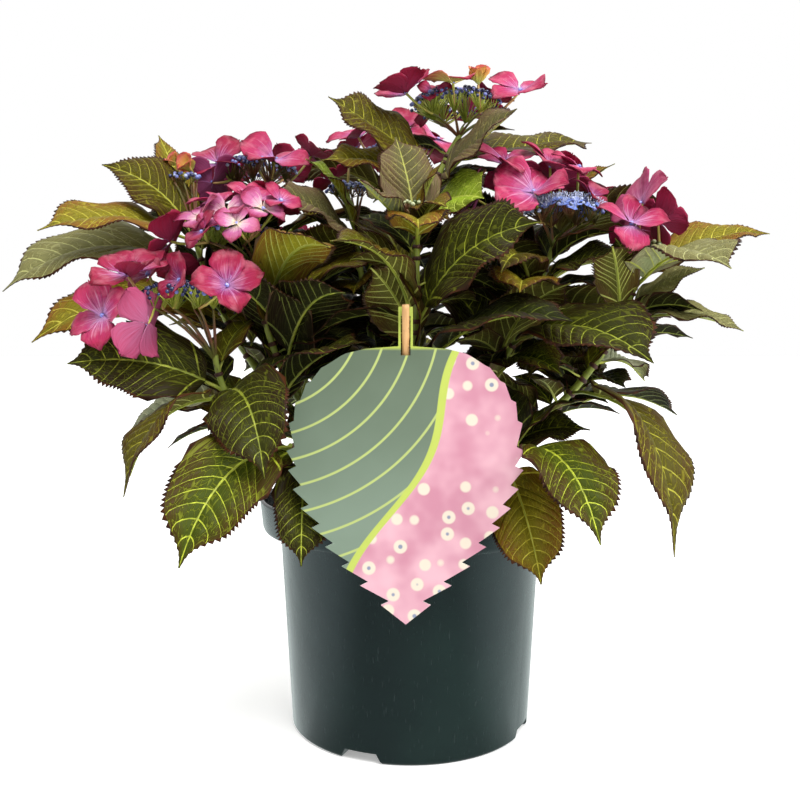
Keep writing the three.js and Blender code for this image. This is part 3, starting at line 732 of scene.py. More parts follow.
# Canes: a bough to a third of the way, then the stem that carries the leaves and the head
stump = {"top": 184, "clearance": 0.3}
cane = {
    "footRadius": 3.6, "tipRadius": 2.1, "boughShare": 0.33, "sides": 10,
    "boughRows": 14, "stemRows": 34, "ripple": 0.1, "rippleScale": 0.25, "nodeSize": 1.45,
    "nodeFlatness": 0.7,
}
tubes = {"twig": tubeShape(4, 4), "hair": tubeShape(3, 1), "stalk": tubeShape(6, 12)}


def caneCurve(shoot):
    foot = direction(shoot["foot"][0], 0) * shoot["foot"][1]
    foot[2] = stump["top"] + stump["clearance"]
    hub = np.array(shoot["hub"], float)
    out, rise = shoot["bow"]
    return foot, foot + (hub - foot) * np.array([out, out, rise]), hub


curves = {name: caneCurve(shoot) for name, shoot in shoots.items()}


def caneRadius(share):
    return cane["footRadius"] + (cane["tipRadius"] - cane["footRadius"]) * share


def caneStretch(curve, first, last, rows):
    shares = np.linspace(first, last, rows + 1)
    points = curvePoint(curve, shares)
    shape = tubeShape(cane["sides"], rows)
    corners, faces = bendTube(shape, points, caneRadius(shares))
    middles = points[np.rint(shape[0][:, 2] + rows / 2).astype(int)]
    ripples = [noise.noise(Vector(corner * cane["rippleScale"])) for corner in corners]
    swell = 1 + cane["ripple"] * np.array(ripples)
    return middles + (corners - middles) * swell[:, None], faces


boughHeap, stemHeap = newHeap(), newHeap()
for name, curve in curves.items():
    pour(boughHeap, *caneStretch(curve, 0, cane["boughShare"], cane["boughRows"]))
    pour(stemHeap, *caneStretch(curve, cane["boughShare"], 1, cane["stemRows"]))
print("canes grown")

# Leaves settle by the source's rule: each keeps clear of all that stands already, or is left out
leafRule = {
    "petiole": 0.14, "petioleRadius": 1.4, "halfWidth": 0.28, "leastHalf": 0.6,
    "outline": (2.8, 0.62, 0.9), "foldAngle": 20, "thickness": 1.9,
    "stations": (0, 0.14, 0.28, 0.5, 0.76, 1), "guardMargin": 1.1, "slimMargin": 0.4,
    "guardStart": 0.28, "length": 116, "spread": 18, "rise": 30, "riseSpread": 14,
    "arch": 0.16, "rollSpread": 24, "breadth": 1, "tries": 75, "depth": math.inf, "seed": 4711,
    "tones": ("dark", "umber", "olive", "shade", "dark", "bronze"),
}
# Finer growth: younger leaves on the same canes, within the reach of their shoot.
# Their tips stay behind depth, so that none grows over the label.
youngRule = {
    "shares": (0.44, 0.56, 0.68, 0.8, 0.9), "headingStep": 137.5, "length": 62, "spread": 14,
    "rise": 24, "riseSpread": 20, "arch": 0.14, "rollSpread": 30, "breadth": 0.9, "tries": 50,
    "depth": 62, "seed": 1907,
    # most young leaves take the shade tone, painted shade for the inside of the bush
    "tones": ("shade", "green", "shade", "olive", "shade", "dark", "shade"),
}
sepalRule = {"count": 4, "cleft": 0.36, "shoulderTurn": 0.22, "thickness": 2, "cup": 0.14}
domeRule = {"flatness": 0.42, "subdivisions": 1}
caneGuard = {"rows": 11, "sides": 5}
# What a leaf tries when its own place is taken: shifts of its tip, or swings, lifts and scales
tipShifts = [
    (0, 0, 0), (0, 0, 10), (0, 0, -10), (0, -10, 4), (0, 10, 4), (10, 0, 0), (-10, 0, 0),
    (0, 0, 20), (0, -14, -14), (0, 14, -14), (16, 0, 12), (-16, 0, 12), (0, 0, -22),
]
ruleSwings = [
    (swing, lift, scale)
    for scale in (1, 0.86, 0.7) for lift in (0, 14, -16, 28, -32) for swing in (0, 18, -18, 36, -36)
]


def leafCurve(leaf):
    chord = leaf["tip"] - leaf["base"]
    length = np.linalg.norm(chord)
    along = chord / length
    rise = unit(up - along * along[2])
    bend = (leaf["base"] + leaf["tip"]) / 2 + rise * 2 * leaf["arch"] * length
    return (leaf["base"] + 0.5 * unit(bend - leaf["base"]), bend, leaf["tip"]), length


# The middle of the leaf at each share, the way to its right edge and the way its face looks
def leafFrames(leaf, shares):
    curve, length = leafCurve(leaf)
    chord = leaf["tip"] - leaf["base"]
    level = unit(np.array([chord[1], -chord[0], 0.0]))
    face = unit(np.cross(level, curveWay(curve, shares)))
    turn = math.radians(leaf["roll"])
    side = level * math.cos(turn) + face * math.sin(turn)
    return curvePoint(curve, shares), side, face * math.cos(turn) - level * math.sin(turn), length


def ruleHalfWidth(share, length, breadth):
    if share <= leafRule["petiole"]:
        return leafRule["petioleRadius"]
    blade = (share - leafRule["petiole"]) / (1 - leafRule["petiole"])
    scale, rise, fall = leafRule["outline"]
    outline = scale * blade**rise * (1 - blade) ** fall
    return max(leafRule["leastHalf"], leafRule["halfWidth"] * length * breadth * outline)


# A guard is a plain closed shape that stands for a leaf, cane or floret while leaves find room
def guardLeaf(leaf, margin, start):
    shares = np.array([share for share in leafRule["stations"] if share >= start])
    centres, sides, faces, length = leafFrames(leaf, shares)
    fold = math.radians(leafRule["foldAngle"])
    corners = []
    for share, centre, side, face in zip(shares, centres, sides, faces):
        half = ruleHalfWidth(share, length, leaf["breadth"]) + margin
        onBlade = share > leafRule["petiole"]
        depth = (leafRule["thickness"] / 2 if onBlade else leafRule["petioleRadius"]) + margin
        lift = half * math.sin(fold) if onBlade else 0
        reach = half * math.cos(fold) if onBlade else half
        corners += [
            centre + side * reach + face * lift, centre - face * depth,
            centre - side * reach + face * lift, centre + face * depth,
        ]
    return guard(corners, ringFaces(len(shares), 4))


def ringFaces(rows, sides):
    walls = [
        (row * sides + side, row * sides + (side + 1) % sides,
         (row + 1) * sides + (side + 1) % sides, (row + 1) * sides + side)
        for row in range(rows - 1) for side in range(sides)
    ]
    last = (rows - 1) * sides
    return walls + [tuple(range(sides)), tuple(range(last, last + sides))]


def guard(corners, faces):
    corners = np.asarray(corners)
    return {
        "tree": BVHTree.FromPolygons([Vector(corner) for corner in corners], faces),
        "low": corners.min(0), "high": corners.max(0),
    }


def guardTube(points, radii):
    corners, faces = bendTube(tubeShape(caneGuard["sides"], len(points) - 1), points, radii)
    return guard(corners, faces)


placed = []


# outer marks what hangs on a cane, and not the cane itself
def place(owner, made, outer=False):
    placed.append((owner, made, outer))


def touches(first, second):
    apart = (first["low"] > second["high"]).any() or (second["low"] > first["high"]).any()
    return not apart and bool(first["tree"].overlap(second["tree"]))


def meets(made, owner):
    return any(touches(made, other) for name, other, _ in placed if name != owner)


def crossesOwn(made, owner):
    return any(touches(made, other) for name, other, outer in placed if name == owner and outer)


# The first try that is clear of everything, or else one that crosses only its own cane's leaves
def settleLeaf(owner, tries):
    clear = None
    for leaf in tries:
        if meets(guardLeaf(leaf, leafRule["guardMargin"], 0), owner):
            continue
        clear = clear or leaf
        if not crossesOwn(guardLeaf(leaf, leafRule["slimMargin"], leafRule["guardStart"]), owner):
            clear = leaf
            break
    if clear:
        place(owner, guardLeaf(clear, 0, 0), True)
    return clear


def nodeGuard(name):
    mesh = nodes[name].data
    corners = np.array([vert.co[:] for vert in mesh.vertices]) / mm
    return guard(corners, [tuple(face.vertices) for face in mesh.polygons])


def floretFrame(floret):
    face = direction(floret[4], floret[5])
    across = unit(np.cross(up, face))
    return np.array(floret[:3], float), across, np.cross(face, across), face


def guardFloret(floret):
    centre, across, over, face = floretFrame(floret)
    step = 360 / sepalRule["count"]
    turn = sepalRule["shoulderTurn"]
    half = face * sepalRule["thickness"] / 2
    corners = [centre + half, centre - half]
    for count in range(sepalRule["count"]):
        for lean, share in ((-0.5, sepalRule["cleft"]), (-turn, 1), (turn, 1)):
            # each floret is turned by its own x, so that no two stand alike
            angle = math.radians((count + lean) * step) + floret[0]
            reach = share * floret[3]
            way = across * math.cos(angle) + over * math.sin(angle) + face * sepalRule["cup"]
            corners.append(centre + way * reach)
    total = 3 * sepalRule["count"]
    faces = []
    for side in range(total):
        follow = (side + 1) % total
        faces += [(0, side + 2, follow + 2), (1, follow + 2, side + 2)]
    return guard(corners, faces)


def guardDome(dome):
    bm = bmesh.new()
    bmesh.ops.create_icosphere(bm, subdivisions=domeRule["subdivisions"], radius=dome[3])
    corners, faces = takeShape(bm)
    return guard(corners * np.array([1, 1, domeRule["flatness"]]) + np.array(dome[:3]), faces)


for name in ("pot", "soil", "stump", "hang_label", "label_stick"):
    place(name, nodeGuard(name))
for name, curve in curves.items():
    shares = np.linspace(0, 1, caneGuard["rows"] + 1)
    place(name, guardTube(curvePoint(curve, shares), caneRadius(shares)))
for name, head in heads.items():
    place(name, guardDome(head["dome"]), True)
    for floret in head["florets"]:
        place(name, guardFloret(floret), True)

leaves = []


def addLeaf(owner, share, tries, tone):
    chosen = settleLeaf(owner, tries)
    if chosen:
        leaves.append({**chosen, "owner": owner, "share": share, "tone": tone})


def leafAt(base, tip, arch, roll, breadth):
    tip = np.array(tip, float)
    return {"base": base, "tip": tip, "arch": arch, "roll": roll, "breadth": breadth}


for name, shoot in shoots.items():
    for share, tip, arch, roll, breadth, tone in shoot["leaves"]:
        base = curvePoint(curves[name], share)
        tries = [leafAt(base, np.add(tip, shift), arch, roll, breadth) for shift in tipShifts]
        addLeaf(name, share, tries, tone)
print(len(leaves), "leaves with a place of their own")


# Two opposite leaves by a rule, each tried at one swing after another until it stands clear
def growPair(owner, share, heading, rule, tones, draw):
    base = curvePoint(curves[owner], share)
    for turn in (0, 180):
        length = rule["length"] + rule["spread"] * (2 * draw() - 1)
        rise = rule["rise"] + rule["riseSpread"] * (2 * draw() - 1)
        roll = rule["rollSpread"] * (2 * draw() - 1)
        tries = [
            leafAt(base, base + direction(heading + turn + swing, rise + lift) * scale * length,
                   rule["arch"], roll, rule["breadth"])
            for swing, lift, scale in ruleSwings[:rule["tries"]]
        ]
        tries = [leaf for leaf in tries if leaf["tip"][1] > -rule["depth"]]
        addLeaf(owner, share, tries, tones[len(leaves) % len(tones)])


draw = seededNumbers(leafRule["seed"])
for name, shoot in shoots.items():
    for share, heading in shoot["pairs"]:
        growPair(name, share, heading, leafRule, shoot.get("pairTones", leafRule["tones"]), draw)
bigCount = len(leaves)
print(bigCount, "leaves with those of the rule")

draw = seededNumbers(youngRule["seed"])
heading = 0
for name in curves:
    for share in youngRule["shares"]:
        heading += youngRule["headingStep"]
        growPair(name, share, heading, youngRule, youngRule["tones"], draw)
print(len(leaves) - bigCount, "young leaves")

# The blade: rows run out from the midrib, and lines across it follow the side veins
leafLook = {
    "veins": 9, "firstVein": 0.04, "lastVein": 0.84, "veinHalf": 0.0045, "taper": 0.5, "between": 3,
    "tipLines": 5, "tipSwell": 0.3, "rows": (0, 0.05, 0.2, 0.4, 0.6, 0.8, 0.95, 1),
    "slant": 0.46, "slantPower": 1.05, "slantStart": 0.12, "leastHalf": 0.4, "fullHalf": 16,
    "midrib": (1.15, 0.32), "midribLimit": 0.4, "tooth": 1.9, "toothOut": 1.1, "toothIn": 0.5,
    "flatten": 0.6, "quilt": 1.4, "quiltPower": 0.6, "wave": 3.2, "waves": 2.3, "waveTurn": 0.25,
    "groove": 0.5, "thickness": 0.5,
}
youngLook = {
    **leafLook, "veins": 5, "between": 1, "tipLines": 2, "rows": (0, 0.08, 0.4, 0.7, 0.93, 1),
    "firstVein": 0.07, "lastVein": 0.8, "veinHalf": 0.007, "midrib": (0.7, 0.25), "tooth": 1.0,
    "quilt": 0.8, "wave": 1.8,
}
# The rib under a leaf is its stalk below the blade, and sinks into the blade's back above it
ribLook = {"rows": 12, "reach": 0.9, "thick": 1.35, "youngThick": 0.9, "taper": 0.8,
           "sink": 0.35, "sinkShare": 0.75}


# A line: its start on the midrib, which side of a vein it edges, its swell, its panel, its tooth
def veinLines(look):
    lines, isVein = [(0.0, 0, 0.0, 0.0, 0)], []
    for count, start in enumerate(np.linspace(look["firstVein"], look["lastVein"], look["veins"])):
        begin = lines[-1][0]
        for step in range(1, look["between"] + 1):
            share = step / (look["between"] + 1)
            swell = math.sin(math.pi * share)
            lines.append((begin + (start - begin) * share, 0, swell, count + share, step % 2 == 0))
        lines += [(start, side, 0.0, count + 1.0, 1) for side in (-1, 1)]
        isVein += [False] * (look["between"] + 1) + [True]
    begin = lines[-1][0]
    for step in range(1, look["tipLines"] + 2):
        share = step / (look["tipLines"] + 1)
        panel = look["veins"] + share
        lines.append((begin + (1 - begin) * share, 0, look["tipSwell"], panel, step % 2 == 0))
        isVein.append(False)
    return np.array(lines), isVein


# The grid of one blade. A face's kind is 0 on the blade, 1 on a vein and 2 along the margin.
def bladeGrid(look):
    lines, isVein = veinLines(look)
    across = len(lines) - 1
    rows = len(look["rows"]) - 1
    bm = bmesh.new()
    bmesh.ops.create_grid(bm, x_segments=across, y_segments=2 * rows, size=1)
    corners, faces = takeShape(bm)
    line = np.rint((corners[:, 0] + 1) / 2 * across).astype(int)
    row = np.rint(corners[:, 1] * rows).astype(int)
    depth = np.array(look["rows"])[np.abs(row)]
    kinds = []
    for face in faces:
        segment = min(line[corner] for corner in face)
        band = min(abs(row[corner]) for corner in face)
        onVein = band == 0 or (isVein[segment] and band < rows - 1)
        kinds.append(2 if band == rows - 1 else 1 if onVein else 0)
    start, edging, swell, panel, tooth = lines[line].T
    start = start + edging * look["veinHalf"] * (1 - look["taper"] * depth)
    return {
        "look": look, "faces": faces, "row": np.abs(row), "sign": np.sign(row), "depth": depth,
        "start": start, "swell": swell, "kinds": kinds, "rows": rows, "tooth": tooth,
        "spots": np.stack([panel + 9 * (row > 0), np.sign(row) * depth], 1),
    }


# Half of the blade's breadth along it: ovate, then drawn out to a thin tip
def outline(share):
    ovate = 2.35 * share**0.55 * (1 - share) ** 0.72
    return ovate * (1 - 0.75 * smoothStep(0.76, 0.97, share))


def bladeCorners(leaf, grid, phase):
    look = grid["look"]
    start, row, sign, depth = grid["start"], grid["row"], grid["sign"], grid["depth"]
    slant = look["slant"] * depth ** look["slantPower"]
    slant = slant * np.minimum(1, start / look["slantStart"]) * (1 - start)
    share = np.clip(start + slant, 0, 1)
    _, length = leafCurve(leaf)
    half = leafRule["halfWidth"] * length * leaf["breadth"] * outline(share)
    half = np.maximum(look["leastHalf"], half)
    size = np.minimum(1, half / look["fullHalf"])
    thick, thin = look["midrib"]
    midrib = np.minimum(thick + (thin - thick) * share, look["midribLimit"] * half)
    reach = np.where(row == 1, midrib, depth * half)
    edge = row == grid["rows"]
    tooth = look["tooth"] * size
    reach = reach + np.where(edge, tooth * (look["toothOut"] * grid["tooth"] - look["toothIn"]), 0)
    share = share + np.where(edge, grid["tooth"] * tooth / length, 0)
    onLeaf = leafRule["petiole"] + (1 - leafRule["petiole"]) * np.clip(share, 0, 1)
    centres, sides, faces, _ = leafFrames(leaf, onLeaf)
    fold = math.radians(leafRule["foldAngle"])
    lift = reach * math.sin(fold) * (1 - look["flatten"] * depth**2)
    cushion = np.sin(np.pi * np.minimum(1, depth)) ** look["quiltPower"]
    lift += look["quilt"] * grid["swell"] * cushion * size
    wave = np.sin(2 * np.pi * (look["waves"] * share + phase + look["waveTurn"] * sign))
    lift += look["wave"] * depth**2 * wave * size
    lift -= np.where(row <= 1, look["groove"] * size, 0)
    return centres - sides * (sign * reach * math.cos(fold))[:, None] + faces * lift[:, None]


# Each blade reads its own stretch of the pattern, and they repeat after a number of blades
patternStep, patternRepeat = 20, 40
bladeHeaps = {tone: newHeap() for tone in bladeHues}
stalkHeap = newHeap()
bigGrid, youngGrid = bladeGrid(leafLook), bladeGrid(youngLook)
chances = np.random.default_rng(23)
for number, leaf in enumerate(leaves):
    young = number >= bigCount
    grid = youngGrid if young else bigGrid
    corners = bladeCorners(leaf, grid, chances.random())
    spots = grid["spots"] + np.array([patternStep * (number % patternRepeat), 0])
    pour(bladeHeaps[leaf["tone"]], corners, grid["faces"], grid["kinds"], spots)
    shares = np.linspace(0, ribLook["reach"], ribLook["rows"] + 1)
    centres, sides, faces, length = leafFrames(leaf, shares)
    thick = ribLook["youngThick" if young else "thick"] * (1 - ribLook["taper"] * shares)
    sunk = ribLook["sink"] + ribLook["sinkShare"] * thick
    sink = np.where(shares > leafRule["petiole"], sunk, 0)
    pour(stalkHeap, *bendTube(tubes["stalk"], centres - faces * sink[:, None], thick))
print(len(leaves), "leaves grown")

# Swollen nodes where leaves leave the cane
bm = bmesh.new()
bmesh.ops.create_uvsphere(bm, u_segments=8, v_segments=5, radius=1)
beadShape = takeShape(bm)


def bead(heap, centre, way, radius, flat, finish=0):
    corners, faces = beadShape
    way = unit(np.asarray(way, float))
    across, over = acrossWay(way, abs(way[2]) > steepRise)
    spun = corners[:, :1] * across + corners[:, 1:2] * over + corners[:, 2:] * flat * way
    pour(heap, centre + radius * spun, faces, finish)


nodeHeap = newHeap()
for name, share in sorted({(leaf["owner"], round(float(leaf["share"]), 3)) for leaf in leaves}):
    curve = curves[name]
    radius = caneRadius(share) * cane["nodeSize"]
    bead(nodeHeap, curvePoint(curve, share), curveWay(curve, share), radius, cane["nodeFlatness"])

# Flower heads
headLook = {
    "spacing": 4.1, "crowding": 0.9, "bud": (1.1, 2.0), "budFlatness": 0.9, "jitter": 0.9,
    "jitterRise": 2.2, "branches": 7, "branchReach": (0.72, 0.5), "branchDrop": 0.45,
    "branchBend": (0.5, 0.5, 0.75), "branchRadii": (1.3, 0.8), "twigRadii": (0.5, 0.45),
    "stalkRadii": (1.15, 0.95), "stalkSag": 0.12, "stalkEnd": 0.3, "gap": -0.3, "gapScale": 0.09,
    "goldenTurn": 2.39996, "openRadius": 4.2, "seed": 88, "hubShare": 0.97, "branchStray": 0.4,
    "stamens": 5, "stamenLean": 0.5, "stamenLength": (1, 0.4), "stamenRadii": (0.18, 0.14),
    "antherLength": 0.8, "antherRadii": (0.45, 0.35),
    "eyeLift": 1.2, "eyeRadius": 1.7, "smallEye": 1.1, "smallFloret": 15,
}
budFinishes = {
    "blue": livingFinish("bud_blue", "5f6bb0", "8288c6", 400, rough=(0.25, 0.4), Coat_Weight=0.4),
    "sky": livingFinish("bud_sky", "94a2cc", "b9c4e2", 400, rough=(0.3, 0.45), Coat_Weight=0.3),
    "berry": livingFinish("bud_berry", "1f2546", "39406e", 400, rough=(0.2, 0.3), Coat_Weight=0.6),
    "green": livingFinish("bud_green", "34451d", "556a2c", 400, rough=(0.3, 0.4), Coat_Weight=0.3),
    "white": livingFinish("bud_white", "a3ad7c", "c6cca0", 400, rough=(0.35, 0.5), Coat_Weight=0.2),
    "flower": livingFinish("bud_flower", "4a64b4", "8196d8", 300, rough=(0.45, 0.6)),
    "stamen": livingFinish("bud_stamen", "aab4d8", "d9dff0", 300, rough=(0.4, 0.5)),
    "eye": livingFinish("floret_eye", "6f76c8", "a9a8e6", 500, rough=(0.2, 0.3), Coat_Weight=0.5),
}
budNames = list(budFinishes)
budMix = {
    "blue": ("blue", "blue", "sky", "blue", "berry", "blue", "sky"),
    "berry": ("berry", "berry", "blue", "berry"),
    "green": ("green", "green", "white"),
    "white": ("white", "white", "green"),
    "open": ("flower", "sky", "flower", "blue"),
}
budHeap = newHeap()
floretHeaps = {tone: newHeap() for tone in floretTones}


# A small open flower of five points, seen from above
def starShape():
    points, inner, rise = 5, 0.5, 0.3
    bm = bmesh.new()
    bmesh.ops.create_circle(bm, cap_ends=True, cap_tris=True, segments=2 * points, radius=1)
    corners, faces = takeShape(bm)
    radius = np.linalg.norm(corners, axis=1)
    turn = np.rint(np.arctan2(corners[:, 1], corners[:, 0]) / (np.pi / points)).astype(int)
    reach = np.where(turn % 2 == 0, 1.0, inner)
    onRim = radius > 0.1
    corners[:, :2] *= np.where(onRim, reach, 1)[:, None]
    corners[:, 2] = np.where(onRim, rise * reach, 0)
    return corners, faces


star = starShape()


def sprig(start, bend, end, radii, finish, shape):
    rows = int(round(shape[0][:, 2].max() * 2))
    points = curvePoint((start, bend, end), np.linspace(0, 1, rows + 1))
    pour(stalkHeap, *bendTube(shape, points, np.linspace(*radii, rows + 1)), finish)


def addStamen(start, end, radii):
    thread = bendTube(tubes["hair"], np.array([start, end]), radii)
    pour(budHeap, *thread, budNames.index("stamen"))


def openFlower(centre, way, size, draw):
    across, over = acrossWay(way, abs(way[2]) > steepRise)
    corners, faces = star
    spun = corners[:, :1] * across + corners[:, 1:2] * over + corners[:, 2:] * way
    pour(budHeap, centre + size * spun, faces, budNames.index("flower"))
    least, spread = headLook["stamenLength"]
    for count in range(headLook["stamens"]):
        turn = 2 * math.pi * (count + draw()) / headLook["stamens"]
        aside = across * math.cos(turn) + over * math.sin(turn)
        lean = unit(way + headLook["stamenLean"] * aside)
        end = centre + lean * size * (least + spread * draw())
        addStamen(centre, end, headLook["stamenRadii"])
        addStamen(end, end + lean * headLook["antherLength"], headLook["antherRadii"])


def growBuds(name, head, draw):
    centre, radius = np.array(head["dome"][:3], float), head["dome"][3]
    hub = curvePoint(curves[name], headLook["hubShare"])
    flat = domeRule["flatness"] * radius
    count = int(math.pi * radius**2 / (headLook["crowding"] * headLook["spacing"] ** 2))
    forks = []
    for branch in range(headLook["branches"]):
        stray = headLook["branchStray"] * draw()
        turn = 2 * math.pi * (branch + stray) / headLook["branches"]
        reach = radius * headLook["branchReach"][branch % 2]
        drop = headLook["branchDrop"] * flat
        fork = centre + np.array([reach * math.cos(turn), reach * math.sin(turn), -drop])
        bend = hub + (fork - hub) * np.array(headLook["branchBend"])
        sprig(hub, bend, fork, headLook["branchRadii"], 1, tubes["twig"])
        forks.append(fork)
    mix = budMix[head["tone"]]
    small, large = headLook["bud"]
    for bud in range(count):
        share = math.sqrt((bud + 0.5) / count)
        turn = bud * headLook["goldenTurn"]
        lift = math.sqrt(max(0, 1 - share**2))
        jitter = [draw() - 0.5, draw() - 0.5, headLook["jitterRise"] * (draw() - 0.5)]
        spot = centre + np.array([
            radius * share * math.cos(turn), radius * share * math.sin(turn), flat * lift,
        ]) + headLook["jitter"] * np.array(jitter)
        size = small + (large - small) * draw()
        if noise.noise(Vector(spot * headLook["gapScale"])) < headLook["gap"]:
            continue
        fork = min(forks, key=lambda other: np.linalg.norm(other - spot))
        way = unit(spot - centre + np.array([0, 0, radius]))
        finish = 0 if head["tone"] == "berry" else 1
        sprig(fork, fork, spot, headLook["twigRadii"], finish, tubes["hair"])
        kind = mix[bud % len(mix)]
        if kind == "flower":
            openFlower(spot, way, headLook["openRadius"], draw)
        else:
            bead(budHeap, spot, way, size, headLook["budFlatness"], budNames.index(kind))
    return forks


# A sepal is a square grid drawn to its outline, with its colours in bands from eye to rim
sepalLook = {
    "cells": 10, "width": 0.45, "leastWidth": 0.9, "widthSpread": 0.22, "power": 1.3, "round": 0.74,
    "neckHalf": 0.035, "tipHalf": 0.06, "cup": 0.2, "curl": 0.22, "fold": 0.18, "ripple": 0.025,
    "rippleTurns": 40, "bulge": 0.03, "bulgeTurns": 7, "tipRound": 0.05, "warp": 0.04,
    "thickness": 0.45, "layer": 0.9, "twist": 22, "stray": 22, "scale": (0.92, 0.28),
    "scoreBend": 0.14, "patternStep": 4.3, "patternRepeat": 60, "ends": 0.004,
    "cupPower": 1.5, "curlPower": 4, "warpTurns": (5, 3), "broadens": (0.5, 0.9),
}
# the least rise of a sepal out of the floret's plane, and how much it varies
sepalPitch = {"pink": (-10, 36), "flushed": (-4, 12), "young": (52, 16), "crimson": (-6, 36)}


def sepalGrid():
    bm = bmesh.new()
    cells = sepalLook["cells"]
    bmesh.ops.create_grid(bm, x_segments=cells, y_segments=cells, size=1)
    corners, faces = takeShape(bm)
    return (corners[:, 0] + 1) / 2, corners[:, 1], faces


sepalRun, sepalSide, sepalFaces = sepalGrid()
# The share by which a corner is coloured runs ahead at the sides, so the bands are bowed
sepalScore = np.minimum(
    1, sepalRun + sepalLook["scoreBend"] * sepalSide**2 * smoothStep(0.15, 0.4, sepalRun))
bandCount = len(petalBands) - 1
sepalBands = [
    int(np.clip(np.digitize(np.mean(sepalScore[list(face)]), petalBands) - 1, 0, bandCount - 1))
    for face in sepalFaces
]


def growSepal(frameOf, length, turn, layer, tone, draw):
    look = sepalLook
    centre, across, over, face = frameOf
    run, side = sepalRun, sepalSide
    full = np.clip(run, look["ends"], 1 - look["ends"]) ** look["power"]
    full = np.sin(np.pi * full) ** look["round"]
    half = look["width"] * (look["leastWidth"] + look["widthSpread"] * draw()) * full
    neck, tip = look["neckHalf"], look["tipHalf"]
    half = np.maximum(half, neck + (tip - neck) * smoothStep(*look["broadens"], run))
    atSide = np.abs(side) > 0.99
    notch = look["ripple"] * np.where(atSide, np.sin(run * look["rippleTurns"] + turn), 0)
    forward = run * (1 + look["bulge"] * np.sin(side * look["bulgeTurns"] + turn))
    forward = (forward - look["tipRound"] * side**2 * (run > 0.98)) * length
    outward = (side * half + notch * np.sign(side)) * length
    lift = look["cup"] * run ** look["cupPower"] - look["curl"] * run ** look["curlPower"]
    lift = lift + look["fold"] * np.abs(side) * half
    alongTurns, headingTurns = look["warpTurns"]
    warp = look["warp"] * np.sin(alongTurns * run + turn * headingTurns) * side
    lift = (lift + warp) * length
    low, spread = sepalPitch.get(tone, sepalPitch["pink"])
    pitch = math.radians(low + spread * draw())
    twist = math.radians(look["twist"] * (2 * draw() - 1))
    ahead = across * math.cos(turn) + over * math.sin(turn)
    beside = np.cross(face, ahead)
    beside = beside * math.cos(twist) + face * math.sin(twist)
    out = ahead * math.cos(pitch) + face * math.sin(pitch)
    normal = np.cross(out, beside)
    corners = centre + face * layer + out * forward[:, None] + beside * outward[:, None]
    corners = corners + normal * lift[:, None]
    heap = floretHeaps[tone]
    shift = look["patternStep"] * (heap["count"] // len(run) % look["patternRepeat"])
    spots = np.stack([sepalSide + shift, sepalScore], 1)
    pour(heap, corners, sepalFaces, sepalBands, spots)


def growFloret(floret, forks, draw):
    frameOf = floretFrame(floret)
    centre, _, _, face = frameOf
    radius, tone = floret[3], floret[6]
    least, spread = sepalLook["scale"]
    step = 360 / sepalRule["count"]
    for count in range(sepalRule["count"]):
        turn = math.radians(count * step + sepalLook["stray"] * (draw() - 0.5)) + floret[0]
        layer = sepalLook["layer"] * (count % 2)
        growSepal(frameOf, radius * (least + spread * draw()), turn, layer, tone, draw)
    eye = headLook["eyeRadius" if radius > headLook["smallFloret"] else "smallEye"]
    bead(budHeap, centre + face * headLook["eyeLift"], face, eye, headLook["budFlatness"],
         budNames.index("eye"))
    fork = min(forks, key=lambda other: np.linalg.norm(other - centre))
    sag = headLook["stalkSag"] * np.linalg.norm(centre - fork)
    bend = (fork + centre) / 2 - np.array([0, 0, sag])
    end = centre - face * headLook["stalkEnd"]
    sprig(fork, bend, end, headLook["stalkRadii"], 2, tubes["twig"])


draw = seededNumbers(headLook["seed"])
for name, head in heads.items():
    forks = growBuds(name, head, draw)
    for floret in head.get("grown", head["florets"]):
        growFloret(floret, forks, draw)
print("flower heads grown")

# The living pieces, each kind joined
pieceFromHeap("canes", boughHeap, [caneSkin], caneNodes)
pieceFromHeap("stems", stemHeap, [caneSkin], shootNodes)
pieceFromHeap("cane_nodes", nodeHeap, [nodeBrown])
pieceFromHeap("stalks", stalkHeap, [stalkGreen, stalkRed, stalkLime])
for tone, heap in bladeHeaps.items():
    skins = [bladeSkins[tone], bladeVeins[tone], marginRed]
    skins += [*unders.get(tone, plainUnder), underMargin]
    addWall(pieceFromHeap("leaves_" + tone, heap, skins), leafLook["thickness"], 3)
for tone, heap in floretHeaps.items():
    skins = [petalFinish(tone, band) for band in range(bandCount)] + [petalUnder(tone)] * bandCount
    piece = pieceFromHeap("florets_" + tone, heap, skins)
    addWall(piece, sepalLook["thickness"], bandCount)
pieceFromHeap("buds", budHeap, [budFinishes[name] for name in budNames])

# The pot
pot = {
    "height": 175, "rimRadius": 115, "collarHeight": 24.5, "collarRadius": 112.9,
    "neckRadius": 99.7, "footRadius": 91.4, "wall": 2.5, "floor": 12, "steps": 144,
    "bevel": 0.5, "softened": 20,
}
notch = {
    "count": 4, "firstAngle": 247, "width": 33, "topWidth": 24, "height": 7.5, "reach": 44,
    "past": 5, "below": 1,
}


def potFinish():
    paint = Paint("pot_plastic")
    haze = paint.patches(9, 0.35, 0.7)
    scuffs = paint.patches(900, 0.66, 0.72, 2, (1, 1, 0.1))
    colour = paint.blend(haze, hue("0b1715"), hue("12221e"))
    colour = paint.blend(scuffs * 0.12, colour, hue("4b5856"))
    gloss = haze * 0.05 + scuffs * 0.2 + 0.14
    return paint.finish(colour, gloss, paint.grain(30, 2), 0.0004,
                        Specular_IOR_Level=0.55, Specular_Tint=(0.82, 0.91, 1, 1))


